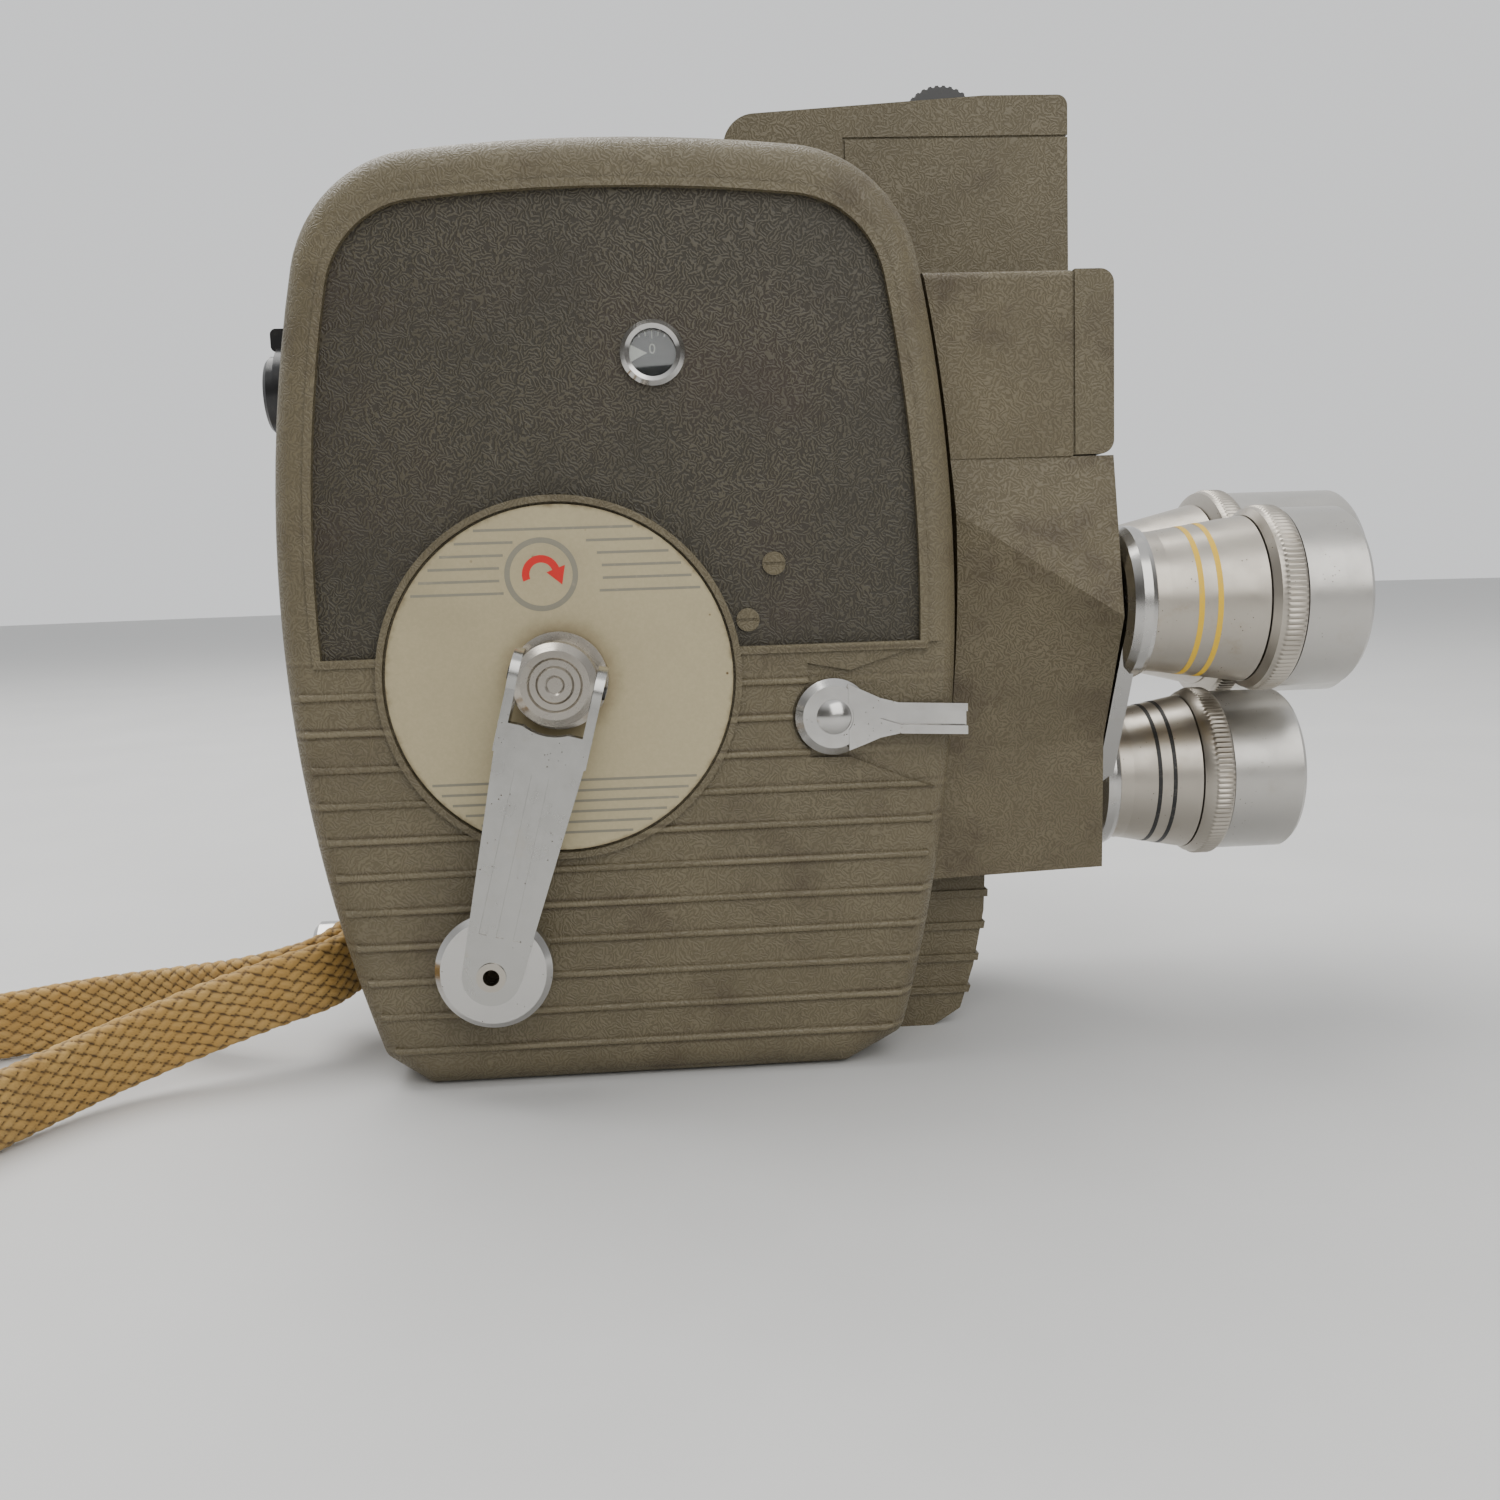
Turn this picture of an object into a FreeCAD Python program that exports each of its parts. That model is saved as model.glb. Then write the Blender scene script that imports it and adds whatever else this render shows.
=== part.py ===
"""Spring-wound 8 mm cine camera with a three-lens turret, one closed solid or group per piece.

Frame: +X is forward, the way the lenses look.  +Y is the film side.  +Z is up.
Origin: the mouth of the tripod socket, on the base plane.  Every size is in millimetres.
"""
import FreeCAD, Part
import math
import os

V = FreeCAD.Vector
os.makedirs("parts", exist_ok=True)

# ---- clearances and fits -------------------------------------------------------------------
RUNNING = 0.05          # radial clearance of a shaft that turns in its bore
GAP = 0.3               # air between pieces of different bodies that only pass each other
SEAM = 1.3              # dark joint between the motor cover and the front casting

# ---- body envelope -------------------------------------------------------------------------
BODY_LENGTH = 93.1      # X, at the widest height
BODY_REAR = 47.1        # tripod socket's axis back to the rearmost point
BODY_DEPTH = 56.0       # Y, winding side to film door
BODY_HEIGHT = 129.2     # Z, base to crown
WIDEST_Z = 62.0
TOP_INSET = 7.6         # the sides lean in by this at the crown
CROWN_DROP = 3.0        # the crown falls by this at the sides
CORNER_R = 19.0
FOOT_R = 2.5
FOOT_Z = 4.4
REAR_FOOT_INSET = 10.4
FRONT_FOOT_INSET = 8.7
BASE_REAR = -30.5
BASE_FRONT = 29.0

WALL = 2.2              # walls of the castings and of the door
COVER_WALL = 2.0        # wall of the drawn motor cover
COVER_DEPTH = 22.0      # Y depth of the motor cover
DOOR_DEPTH = 7.0        # Y depth of the film door
DOOR_ROUND = 2.5        # rounding of the door's outer edge
WEB_Y = 0.0             # motor side face of the web between motor and film chamber
WEB = 2.0               # thickness of that web

REAR_X = -BODY_REAR
FRONT_X = BODY_LENGTH - BODY_REAR
NEAR_Y = -BODY_DEPTH / 2
FAR_Y = BODY_DEPTH / 2
SPLIT_Y = NEAR_Y + COVER_DEPTH
DOOR_Y = FAR_Y - DOOR_DEPTH
FILM_Y = WEB_Y + WEB

# ---- motor cover dress ---------------------------------------------------------------------
COVER_ROUND = 4.0       # rounding of the cover's outer edge
BEAD_INSET = 4.5        # sides of the outline to the outside of the raised bead
BEAD_TOP_INSET = 6.1    # crown to the outside of the raised bead
BEAD_WIDTH = 1.1
BEAD_RISE = 0.4
PANEL_SINK = 0.8
LIP_Z = 60.8            # lower edge of the sunk panel
RIB_PITCH = 5.01
RIB_COUNT = 11
RIB_WIDTH = 1.1
RIB_RISE = 0.45
RIB_END = 2.2           # outline to the ribs' ends
FAN_SINK = 0.5
COVER_SCREW_R = 1.6
COVER_SCREWS = ((20.4, 72.0), (16.6, 64.4))
FAN_OUTLINE = ((24.6, 58.2), (30.5, 57.0), (42.0, 60.6), (50.0, 60.6), (50.0, 39.6),
               (43.0, 39.9), (38.0, 41.6), (30.2, 44.9), (24.6, 45.0))

# ---- winding plate, key and crank ----------------------------------------------------------
KEY_X = -9.4
KEY_Z = 57.2
PLATE_R = 23.65
PLATE_THICK = 0.6
PLATE_GAP = 0.35        # dark ring between the plate and its bead
RING_WIDTH = 0.9
RING_RISE = 0.8
HUB_BASE_R = 6.6
HUB_R = 5.5
HUB_FLAT = 4.9          # centre to each flat
HUB_BASE_TOP = 3.1      # above the cover's face
HINGE_RISE = 7.3        # crank hinge axis above the cover's face
HUB_ABOVE_HINGE = 4.4
HUB_CHAMFER = 1.0
ARCH_AIR = 1.4          # hub to the arch cut in the crank's web
ARBOR_R = 3.0
CRANK_ANGLE = 15.0      # the crank's lean from straight down, towards the rear
CRANK_LENGTH = 39.9     # hub centre to knob centre
CRANK_TOP_HALF = 6.25
CRANK_TIP_R = 3.9
CRANK_THICK = 2.4
EAR_THICK = 1.25
EAR_R = 3.5
WEB_START = 6.2         # hinge axis to the crank's web
KNOB_R = 7.9
KNOB_THICK = 4.6
KNOB_DISH = 0.7         # depth of the dish in the knob that holds the rivet's flange
RIVET_R = 1.95
RIVET_HOLE_R = 1.1
RIVET_FLANGE = 1.0      # how far the rivet is spread over the knob's dish
PIN_R = 0.9

# ---- release lever -------------------------------------------------------------------------
LEVER_X = 27.9
LEVER_Z = 50.7
LEVER_HEAD_R = 5.3
LEVER_REACH = 18.6      # pivot to tip
LEVER_TIP_HALF = 2.15
LEVER_DROP = 0.9        # the tip lies this far below the pivot
LEVER_WAIST = 9.0       # pivot to where the arm's edges run straight
LEVER_THICK = 2.5
LEVER_SCREW_RISE = 0.9  # dome above the lever's head
LEVER_SCREW_R = 2.4
LEVER_PIVOT_R = 1.4

# ---- footage counter -----------------------------------------------------------------------
COUNTER_X = 4.9
COUNTER_Z = 100.5
COUNTER_RING_R = 4.35
COUNTER_GLASS_R = 3.15
DIAL_R = 9.5
DIAL_DROP = 5.6         # window centre down to the dial's axis
DIAL_THICK = 0.7

# ---- front casting, finder and meter housing -----------------------------------------------
BLOCK_REACH = 24.3      # body's widest point to the front face
BLOCK_BOTTOM_Z = 24.7
LOWER_TOP_Z = 85.9      # top of the turret housing, bottom of the finder block
FINDER_TOP_Z = 111.8
FINDER_STEP = 7.5       # winding face to the finder block's near side
BEZEL_THICK = 6.0
FACE_X = FRONT_X + BLOCK_REACH
FINDER_IN = 15.0        # winding face to the finder's axis
FINDER_Z = 97.9
FINDER_TUBE_R = 4.8
EYE_FLANGE = 1.6        # thickness of the eyepiece behind its collar
COLLAR_R = 6.6          # focusing collar
COLLAR_THICK = 1.0
METER_WIDTH = 25.0
METER_SIDE = 1.0        # meter housing's far side in from the door's face
METER_LID = 0.6
JOINT_WIDTH = 0.35      # open joint lines round the meter housing and the finder's front plate
JOINT_DEPTH = 0.3
METER_REAR_X = 35.3
METER_LID_RISE = 7.2    # body's crown to the joint under the cap
CAP_REAR_X = 17.0
CAP_REAR_RISE = 10.6    # body's crown to the cap's rear edge
CAP_TOP_RISE = 13.1     # body's crown to the cap's top
CAP_ROUND = 5.0
DIALWHEEL_X = 51.6
DIALWHEEL_IN = 7.0      # meter housing's near side to the wheel's middle
DIALWHEEL_R = 6.4
DIALWHEEL_WIDTH = 3.6
DIALWHEEL_PROUD = 3.2
FINDER_Y = NEAR_Y + FINDER_IN
FINDER_NEAR_Y = NEAR_Y + FINDER_STEP
METER_FAR_Y = FAR_Y - METER_SIDE
METER_NEAR_Y = METER_FAR_Y - METER_WIDTH
DIALWHEEL_Y = METER_NEAR_Y + DIALWHEEL_IN
METER_LID_Z = BODY_HEIGHT + METER_LID_RISE
CAP_REAR_Z = BODY_HEIGHT + CAP_REAR_RISE
CAP_TOP_Z = BODY_HEIGHT + CAP_TOP_RISE

# ---- turret and lenses ---------------------------------------------------------------------
TURRET_Z = 55.4
LENS_CIRCLE_R = 18.6
LOBE_R = 11.2
TURRET_BACK = 0.4       # front face to the turret's back
TURRET_THICK = 4.1
TURRET_WEB = 2.4
SPIGOT_R = 7.4          # lens seat, 5/8 inch class screw mount
TURRET_PIVOT_R = 3.0
PIVOT_BOSS_DEPTH = 5.6  # front face back to the pivot boss's inner end
TURRET_X = FACE_X + TURRET_BACK
SEAT_X = TURRET_X + TURRET_THICK
RING_AIR = 0.25         # air each side of a turning lens ring
RING_SEAT = 2.4         # how far a lens ring's bore lies inside the neck radius
BORE_R = 5.6
GLASS_EDGE = 2.2        # edge thickness of a front element
# per lens: radius at the seat, radius before the ring, ring radius, front radius, the lengths of
# barrel, ring and front barrel, and the radius of the front glass
LENSES = (
    {"seat_r": 10.2, "neck_r": 12.2, "ring_r": 13.7, "front_r": 13.2,
     "barrel": 15.5, "ring": 4.6, "front": 9.6, "glass_r": 8.2},
    {"seat_r": 10.2, "neck_r": 12.2, "ring_r": 13.4, "front_r": 12.7,
     "barrel": 12.2, "ring": 4.4, "front": 11.4, "glass_r": 6.2},
    {"seat_r": 10.6, "neck_r": 15.2, "ring_r": 17.6, "front_r": 17.0,
     "barrel": 20.3, "ring": 4.6, "front": 18.9, "glass_r": 10.4},
)

# ---- film path -----------------------------------------------------------------------------
SPOOL_R = 25.4
SPOOL_WIDTH = 16.6
SPINDLE_R = 3.2
SPOOL_WALL_AIR = 5.3    # rear wall's inside to a spool's rim
TAKEUP_Z = 36.5
FEED_Z = 93.0
SPOOL_X = REAR_X + WALL + SPOOL_WALL_AIR + SPOOL_R

# ---- motor ---------------------------------------------------------------------------------
BARREL_R = 22.6
BARREL_TEETH = 60
BARREL_MODULE = 0.8
TRANSFER_PINION_TEETH = 12
TRANSFER_TEETH = 40
TRANSFER_MODULE = 0.6
GOVERNOR_PINION_TEETH = 10
TRANSFER_ANGLE = -35.0  # direction from the barrel's axis to the transfer arbor
GOVERNOR_ANGLE = 25.0   # direction from the transfer arbor to the governor arbor
MOTOR_PLATE_Y = WEB_Y - 6.0
MOTOR_PLATE = 1.5
ARBOR_SMALL_R = 1.2
BARREL_GEAR_Y = -9.6
GEAR_FACE = 1.6
MOTOR_PLATE_LOW_Z = 20.0
MOTOR_PLATE_HIGH_Z = 86.0

# ---- film gate and shutter -----------------------------------------------------------------
GATE_LOW_Z = 40.0
GATE_HIGH_Z = 88.0
GATE_X = FRONT_X + 13.0     # film plane
FILM_EDGE_Y = 4.1           # film's edge nearest the web; the shutter shaft stays short of it
SHUTTER_Y = 1.2
SHUTTER_Z = 58.0
SHUTTER_R = 19.6
SHUTTER_SHAFT_R = 1.2
LOCK_X = 8.0                # film door's lock
LOCK_Z = 62.0
LOCK_R = 7.5

# ---- tripod socket and strap screw ---------------------------------------------------------
TRIPOD_R = 2.85         # 1/4 inch by 20 threads, mean radius
TRIPOD_DEPTH = 8.0
TRIPOD_BUSH_R = 5.0
STRAP_SCREW_Y = -1.0
STRAP_SCREW_Z = 14.2
STRAP_SCREW_R = 4.4
STRAP_SHANK_R = 1.8
STRAP_WIDTH = 10.0
STRAP_THICK = 2.6
STRAP_INSET = 3.5       # body's widest point to the middle of the strap's inner layer
WASHER_R = 4.4
WASHER_THICK = 1.1
STRAP_LAYER_AIR = 0.1
STRAP_INNER_X = REAR_X + STRAP_INSET
STRAP_OUTER_X = STRAP_INNER_X - STRAP_THICK - STRAP_LAYER_AIR
LIE_Z = STRAP_WIDTH / 2 + 0.2      # middle height of the strap standing on its edge
HINGE_Y = NEAR_Y - HINGE_RISE
LEVER_BACK_Y = NEAR_Y + FAN_SINK - GAP     # back of the lever, in the fan recess
TOE_NEAR_Y = SPLIT_Y - 5.0
TOE_REAR_X = FRONT_X - 16.0


# ==== plain helpers =========================================================================
def box(x0, x1, y0, y1, z0, z1):
    """Box between two corners."""
    return Part.makeBox(x1 - x0, y1 - y0, z1 - z0, V(x0, y0, z0))


def cyl_x(y, z, x0, x1, r):
    """Cylinder along X."""
    return Part.makeCylinder(r, x1 - x0, V(x0, y, z), V(1, 0, 0))


def cyl_y(x, z, y0, y1, r):
    """Cylinder along Y."""
    return Part.makeCylinder(r, y1 - y0, V(x, y0, z), V(0, 1, 0))


def cyl_z(x, y, z0, z1, r):
    """Cylinder along Z."""
    return Part.makeCylinder(r, z1 - z0, V(x, y, z0), V(0, 0, 1))


def polygon_y(points, y0, y1):
    """Prism along Y over a polygon given as (x, z) corners."""
    wire = Part.makePolygon([V(x, y0, z) for x, z in points] + [V(points[0][0], y0, points[0][1])])
    return Part.Face(wire).extrude(V(0, y1 - y0, 0))


def turned_x(profile, y, z):
    """Solid of revolution about a line along X; the profile is closed, as (x, radius) corners."""
    corners = [V(x, y, z + r) for x, r in profile]
    wire = Part.makePolygon(corners + [corners[0]])
    return Part.Face(wire).revolve(V(0, y, z), V(1, 0, 0), 360)


def turned_y(profile, x, z):
    """Solid of revolution about a line along Y; the profile is closed, as (y, radius) corners."""
    corners = [V(x, y, z + r) for y, r in profile]
    wire = Part.makePolygon(corners + [corners[0]])
    return Part.Face(wire).revolve(V(x, 0, z), V(0, 1, 0), 360)


def fuse(*shapes):
    """Join shapes and drop the seams between them."""
    return shapes[0].multiFuse(list(shapes[1:])).removeSplitter()


def cut(shape, *tools):
    """Take tools away from a shape."""
    return shape.cut(list(tools))


def edges_where(shape, test):
    """Edges whose bounding box passes the test."""
    return [edge for edge in shape.Edges if test(edge.BoundBox)]


# ==== body outline ==========================================================================
def circle_through(p, q, r):
    """Centre and radius of the circle through three points in the XZ plane."""
    circle = Part.Circle(p, q, r)
    return circle.Center, circle.Radius


def circles_meet(first, second, near):
    """The meeting point of two circles, each (centre, radius), that lies nearest a given point."""
    (c1, r1), (c2, r2) = first, second
    along = c2 - c1
    span = along.Length
    along = along * (1 / span)
    reach = (r1 * r1 - r2 * r2 + span * span) / (2 * span)
    side = V(-along.z, 0, along.x) * math.sqrt(r1 * r1 - reach * reach)
    foot = c1 + along * reach
    return min((foot + side, foot - side), key=lambda point: (point - near).Length)


def circle_meets_line(circle, start, end, near):
    """The meeting point of a circle and a line that lies nearest a given point."""
    centre, radius = circle
    along = (end - start).normalize()
    foot = start + along * (centre - start).dot(along)
    half = along * math.sqrt(radius * radius - (foot - centre).Length ** 2)
    return min((foot + half, foot - half), key=lambda point: (point - near).Length)


def arc_on(circle, start, end):
    """The short arc of a circle between two points on it."""
    centre, radius = circle
    middle = centre + ((start + end) * 0.5 - centre).normalize() * radius
    return Part.Arc(start, middle, end).toShape()


def side_circle(foot, bulge_x, top):
    """The circle that a bulging side follows, as (centre, radius)."""
    return circle_through(foot, V(bulge_x, 0, WIDEST_Z), top)


def rear_wall_x(z):
    """X of the body's rear side at a height."""
    foot = V(REAR_X + REAR_FOOT_INSET, 0, FOOT_Z)
    centre, radius = side_circle(foot, REAR_X, V(REAR_X + TOP_INSET, 0, BODY_HEIGHT - CROWN_DROP))
    return centre.x - math.sqrt(radius * radius - (z - centre.z) ** 2)


def outline_prism(y0, y1, grow=0.0, crown_grow=None):
    """Prism over the body's outline (bulging sides, crowned top, bevelled base), grown all round.

    The crown grows by its own amount where one is given.
    """
    rear_foot = V(REAR_X + REAR_FOOT_INSET, 0, FOOT_Z)
    front_foot = V(FRONT_X - FRONT_FOOT_INSET, 0, FOOT_Z)
    rear_top = V(REAR_X + TOP_INSET, 0, BODY_HEIGHT - CROWN_DROP)
    front_top = V(FRONT_X - TOP_INSET, 0, BODY_HEIGHT - CROWN_DROP)
    sides = []
    for foot, bulge, top in ((rear_foot, REAR_X, rear_top), (front_foot, FRONT_X, front_top)):
        centre, radius = side_circle(foot, bulge, top)
        sides.append((centre, radius + grow))
    centre, radius = circle_through(rear_top, V(0, 0, BODY_HEIGHT), front_top)
    crown = (centre, radius + (grow if crown_grow is None else crown_grow))
    rear_corner = circles_meet(sides[0], crown, rear_top)
    front_corner = circles_meet(sides[1], crown, front_top)
    base_rear = V(BASE_REAR, 0, 0)
    base_front = V(BASE_FRONT, 0, 0)
    rear_bevel = (base_rear - rear_foot).normalize()
    front_bevel = (front_foot - base_front).normalize()
    rear_out = V(rear_bevel.z, 0, -rear_bevel.x) * grow
    front_out = V(front_bevel.z, 0, -front_bevel.x) * grow
    rear_low = circle_meets_line(sides[0], rear_foot + rear_out, base_rear + rear_out, rear_foot)
    front_low = circle_meets_line(sides[1], base_front + front_out, front_foot + front_out, front_foot)
    rear_base = rear_low + rear_bevel * ((-grow - rear_low.z) / rear_bevel.z)
    front_base = front_low - front_bevel * ((front_low.z + grow) / front_bevel.z)
    edges = [
        arc_on(sides[0], rear_low, rear_corner),
        arc_on(crown, rear_corner, front_corner),
        arc_on(sides[1], front_corner, front_low),
        Part.makeLine(front_low, front_base),
        Part.makeLine(front_base, rear_base),
        Part.makeLine(rear_base, rear_low),
    ]
    prism = Part.Face(Part.Wire(edges)).extrude(V(0, y1 - y0, 0))
    prism.translate(V(0, y0, 0))
    high = edges_where(prism, lambda b: b.YMax - b.YMin > 0.9 * (y1 - y0) and b.ZMin > WIDEST_Z)
    low = edges_where(prism, lambda b: b.YMax - b.YMin > 0.9 * (y1 - y0) and b.ZMax < WIDEST_Z)
    prism = prism.makeFillet(CORNER_R + grow, high)
    return prism.makeFillet(max(FOOT_R + grow, 0.4), low)


def rounded_rim(prism, y, radius):
    """Round a prism's rim in the plane at y."""
    return prism.makeFillet(radius, edges_where(prism, lambda b: abs(b.YMin - y) < 0.01 and abs(b.YMax - y) < 0.01))


# ==== motor cover and what sits on it =======================================================
def rib_heights():
    """Heights of the raised ribs, from the lip downwards."""
    return [LIP_Z - RIB_PITCH * k for k in range(1, RIB_COUNT + 1)]


def rib_slabs(x0, x1, y0, y1):
    """Thin horizontal slabs at the ribs' heights."""
    half = RIB_WIDTH / 2
    return Part.makeCompound([box(x0, x1, y0, y1, z - half, z + half) for z in rib_heights()])


def motor_cover():
    """Drawn cover of the motor side: sunk panel, beads, ribs and a fan recess for the lever."""
    blank = rounded_rim(outline_prism(NEAR_Y, SPLIT_Y), NEAR_Y, COVER_ROUND)
    rib_r = ((RIB_WIDTH / 2) ** 2 + RIB_RISE ** 2) / (2 * RIB_RISE)
    bars = [cyl_x(NEAR_Y - RIB_RISE + rib_r, z, REAR_X, FRONT_X, rib_r) for z in rib_heights()]
    ribs = Part.makeCompound(bars).common(outline_prism(NEAR_Y - 2, NEAR_Y + COVER_WALL / 2, -RIB_END))
    disc_zone = cyl_y(KEY_X, KEY_Z, NEAR_Y - 3, SPLIT_Y, PLATE_R + PLATE_GAP + RING_WIDTH)
    fan = fuse(polygon_y(FAN_OUTLINE, NEAR_Y - 3, NEAR_Y + FAN_SINK),
               cyl_y(LEVER_X, LEVER_Z, NEAR_Y - 3, NEAR_Y + FAN_SINK, LEVER_HEAD_R + GAP))
    above = box(REAR_X, FRONT_X, NEAR_Y - 3, SPLIT_Y, LIP_Z, BODY_HEIGHT)
    bead_top = box(REAR_X, FRONT_X, NEAR_Y - 3, SPLIT_Y, LIP_Z - BEAD_WIDTH, BODY_HEIGHT)
    inner = outline_prism(NEAR_Y - BEAD_RISE, NEAR_Y + PANEL_SINK, -BEAD_INSET - BEAD_WIDTH,
                          -BEAD_TOP_INSET - BEAD_WIDTH).common(above)
    outer = outline_prism(NEAR_Y - BEAD_RISE, NEAR_Y + PANEL_SINK, -BEAD_INSET, -BEAD_TOP_INSET).common(bead_top)
    bead = cut(outer, inner, disc_zone)
    panel = cut(inner, disc_zone)
    ring_r = PLATE_R + PLATE_GAP
    ring = cut(cyl_y(KEY_X, KEY_Z, NEAR_Y - RING_RISE, NEAR_Y + 1, ring_r + RING_WIDTH),
               cyl_y(KEY_X, KEY_Z, NEAR_Y - RING_RISE - 1, NEAR_Y + 2, ring_r))
    plate_seat = cyl_y(KEY_X, KEY_Z, NEAR_Y - 1, NEAR_Y + PLATE_THICK / 2, ring_r)
    solid = cut(blank, panel, fan, plate_seat)
    solid = fuse(solid, bead, cut(ribs, disc_zone, fan), ring)
    hollow = outline_prism(NEAR_Y + COVER_WALL, SPLIT_Y + 1, -COVER_WALL)
    holes = [
        cyl_y(KEY_X, KEY_Z, NEAR_Y - 1, SPLIT_Y, ARBOR_R + GAP),
        cyl_y(COUNTER_X, COUNTER_Z, NEAR_Y - 1, SPLIT_Y, COUNTER_GLASS_R),
        cyl_y(LEVER_X, LEVER_Z, NEAR_Y - 1, SPLIT_Y, LEVER_PIVOT_R),
        cyl_x(FINDER_Y, FINDER_Z, REAR_X - 2, FRONT_X + 2, FINDER_TUBE_R + RUNNING),
    ]
    holes += [cyl_y(x, z, NEAR_Y - 1, SPLIT_Y, 1.0) for x, z in COVER_SCREWS]
    holes += [cyl_y(x, z, NEAR_Y - RING_RISE - 1, NEAR_Y + PANEL_SINK, COVER_SCREW_R) for x, z in COVER_SCREWS]
    boss = cut(cyl_y(LEVER_X, LEVER_Z, NEAR_Y + FAN_SINK, NEAR_Y + 7, 3.2), hollow_keepout())
    return cut(fuse(cut(solid, hollow), boss), *holes)


def hollow_keepout():
    """Space in front of the cover's face, so that a boss never stands through it."""
    return box(REAR_X, FRONT_X, NEAR_Y - 10, NEAR_Y + FAN_SINK, 0, BODY_HEIGHT)


def cover_screws():
    """Painted screws that hold the cover's panel, as one group."""
    screws = []
    for x, z in COVER_SCREWS:
        head = cyl_y(x, z, NEAR_Y + PANEL_SINK - 0.4, NEAR_Y + PANEL_SINK, COVER_SCREW_R)
        slot = box(x - 2, x + 2, NEAR_Y, NEAR_Y + PANEL_SINK - 0.2, z - 0.2, z + 0.2)
        shank = cyl_y(x, z, NEAR_Y + PANEL_SINK, NEAR_Y + 6, 1.0)
        screws.append(fuse(cut(head, slot), shank))
    return Part.makeCompound(screws)


def winding_plate():
    """Thin printed plate behind the key."""
    plate = cyl_y(KEY_X, KEY_Z, NEAR_Y - PLATE_THICK / 2, NEAR_Y + PLATE_THICK / 2, PLATE_R)
    return cut(plate, cyl_y(KEY_X, KEY_Z, NEAR_Y - 2, NEAR_Y + 2, ARBOR_R + GAP))


def counter_bezel():
    """Chromed ring round the footage window."""
    face = NEAR_Y + PANEL_SINK
    profile = [(face, COUNTER_GLASS_R), (face, COUNTER_RING_R), (face - 0.7, COUNTER_RING_R),
               (face - 1.3, COUNTER_RING_R - 0.6), (face - 1.0, COUNTER_GLASS_R)]
    return turned_y(profile, COUNTER_X, COUNTER_Z)


def counter_glass():
    """Window pane, held in the cover's hole."""
    return cyl_y(COUNTER_X, COUNTER_Z, NEAR_Y + PANEL_SINK - 0.4, NEAR_Y + PANEL_SINK + 0.5, COUNTER_GLASS_R)


def counter_dial():
    """Numbered disc behind the window, on its own arbor."""
    z = COUNTER_Z - DIAL_DROP
    face = NEAR_Y + COVER_WALL + GAP
    disc = cyl_y(COUNTER_X, z, face, face + DIAL_THICK, DIAL_R)
    arbor = cyl_y(COUNTER_X, z, face, FINDER_Y - FINDER_TUBE_R - GAP, 1.2)
    return fuse(disc, arbor)


def counter_bracket():
    """Bent bracket inside the cover that carries the counter dial's arbor."""
    z = COUNTER_Z - DIAL_DROP
    y0 = NEAR_Y + COVER_WALL
    y1 = y0 + GAP + DIAL_THICK + 1.0
    strip = box(COUNTER_X - 14, COUNTER_X + 14, y1, y1 + 1.2, z - 3, z + 3)
    legs = [box(COUNTER_X + s * 12.6 - 1.4, COUNTER_X + s * 12.6 + 1.4, y0, y1 + 1.2, z - 3, z + 3)
            for s in (-1, 1)]
    return cut(fuse(strip, *legs), cyl_y(COUNTER_X, z, y0, y1 + 2, 1.2 + RUNNING))


# ==== key, crank and lever ==================================================================
def lean(shape):
    """Turn a shape built pointing straight down from the key to the crank's lean."""
    shape.rotate(V(KEY_X, 0, KEY_Z), V(0, 1, 0), CRANK_ANGLE)
    return shape


def key_hub():
    """Turned hub with two flats that the crank's ears embrace."""
    base_y = NEAR_Y - PLATE_THICK / 2 - GAP
    top_y = HINGE_Y - HUB_ABOVE_HINGE
    base = cyl_y(KEY_X, KEY_Z, NEAR_Y - HUB_BASE_TOP, base_y, HUB_BASE_R)
    post = turned_y([(base_y, 0), (base_y, HUB_R), (top_y + HUB_CHAMFER, HUB_R), (top_y, HUB_R - HUB_CHAMFER),
                     (top_y, 3.6), (top_y + 0.35, 3.3), (top_y + 0.35, 2.5), (top_y, 2.2),
                     (top_y, 1.3), (top_y + 0.3, 1.0), (top_y + 0.3, 0)], KEY_X, KEY_Z)
    flats = [box(KEY_X + s * (HUB_FLAT + 3) - 3, KEY_X + s * (HUB_FLAT + 3) + 3, top_y - 1,
                 NEAR_Y - HUB_BASE_TOP, KEY_Z - 9, KEY_Z + 9) for s in (-1, 1)]
    bore = cyl_y(KEY_X, KEY_Z, NEAR_Y - 2.4, base_y + 1, ARBOR_R)
    return lean(cut(fuse(base, post), bore, pin_blank(), *flats))


def pin_blank():
    """Cylinder along the crank's hinge axis, as wide as both pins."""
    reach = HUB_FLAT + RUNNING + EAR_THICK + 0.5
    return cyl_x(HINGE_Y, KEY_Z, KEY_X - reach, KEY_X + reach, PIN_R)


def crank_pins():
    """The two hinge pins, fixed in the hub."""
    reach = HUB_FLAT + RUNNING + EAR_THICK + 0.35
    pins = []
    for s in (-1, 1):
        x0, x1 = sorted((KEY_X + s * 1.5, KEY_X + s * reach))
        pins.append(cyl_x(HINGE_Y, KEY_Z, x0, x1, PIN_R))
    return lean(Part.makeCompound(pins))


def winding_arbor():
    """Shaft from the key through the spring barrel into the motor plate."""
    return cyl_y(KEY_X, KEY_Z, NEAR_Y - 2.4, MOTOR_PLATE_Y + MOTOR_PLATE, ARBOR_R)


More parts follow.
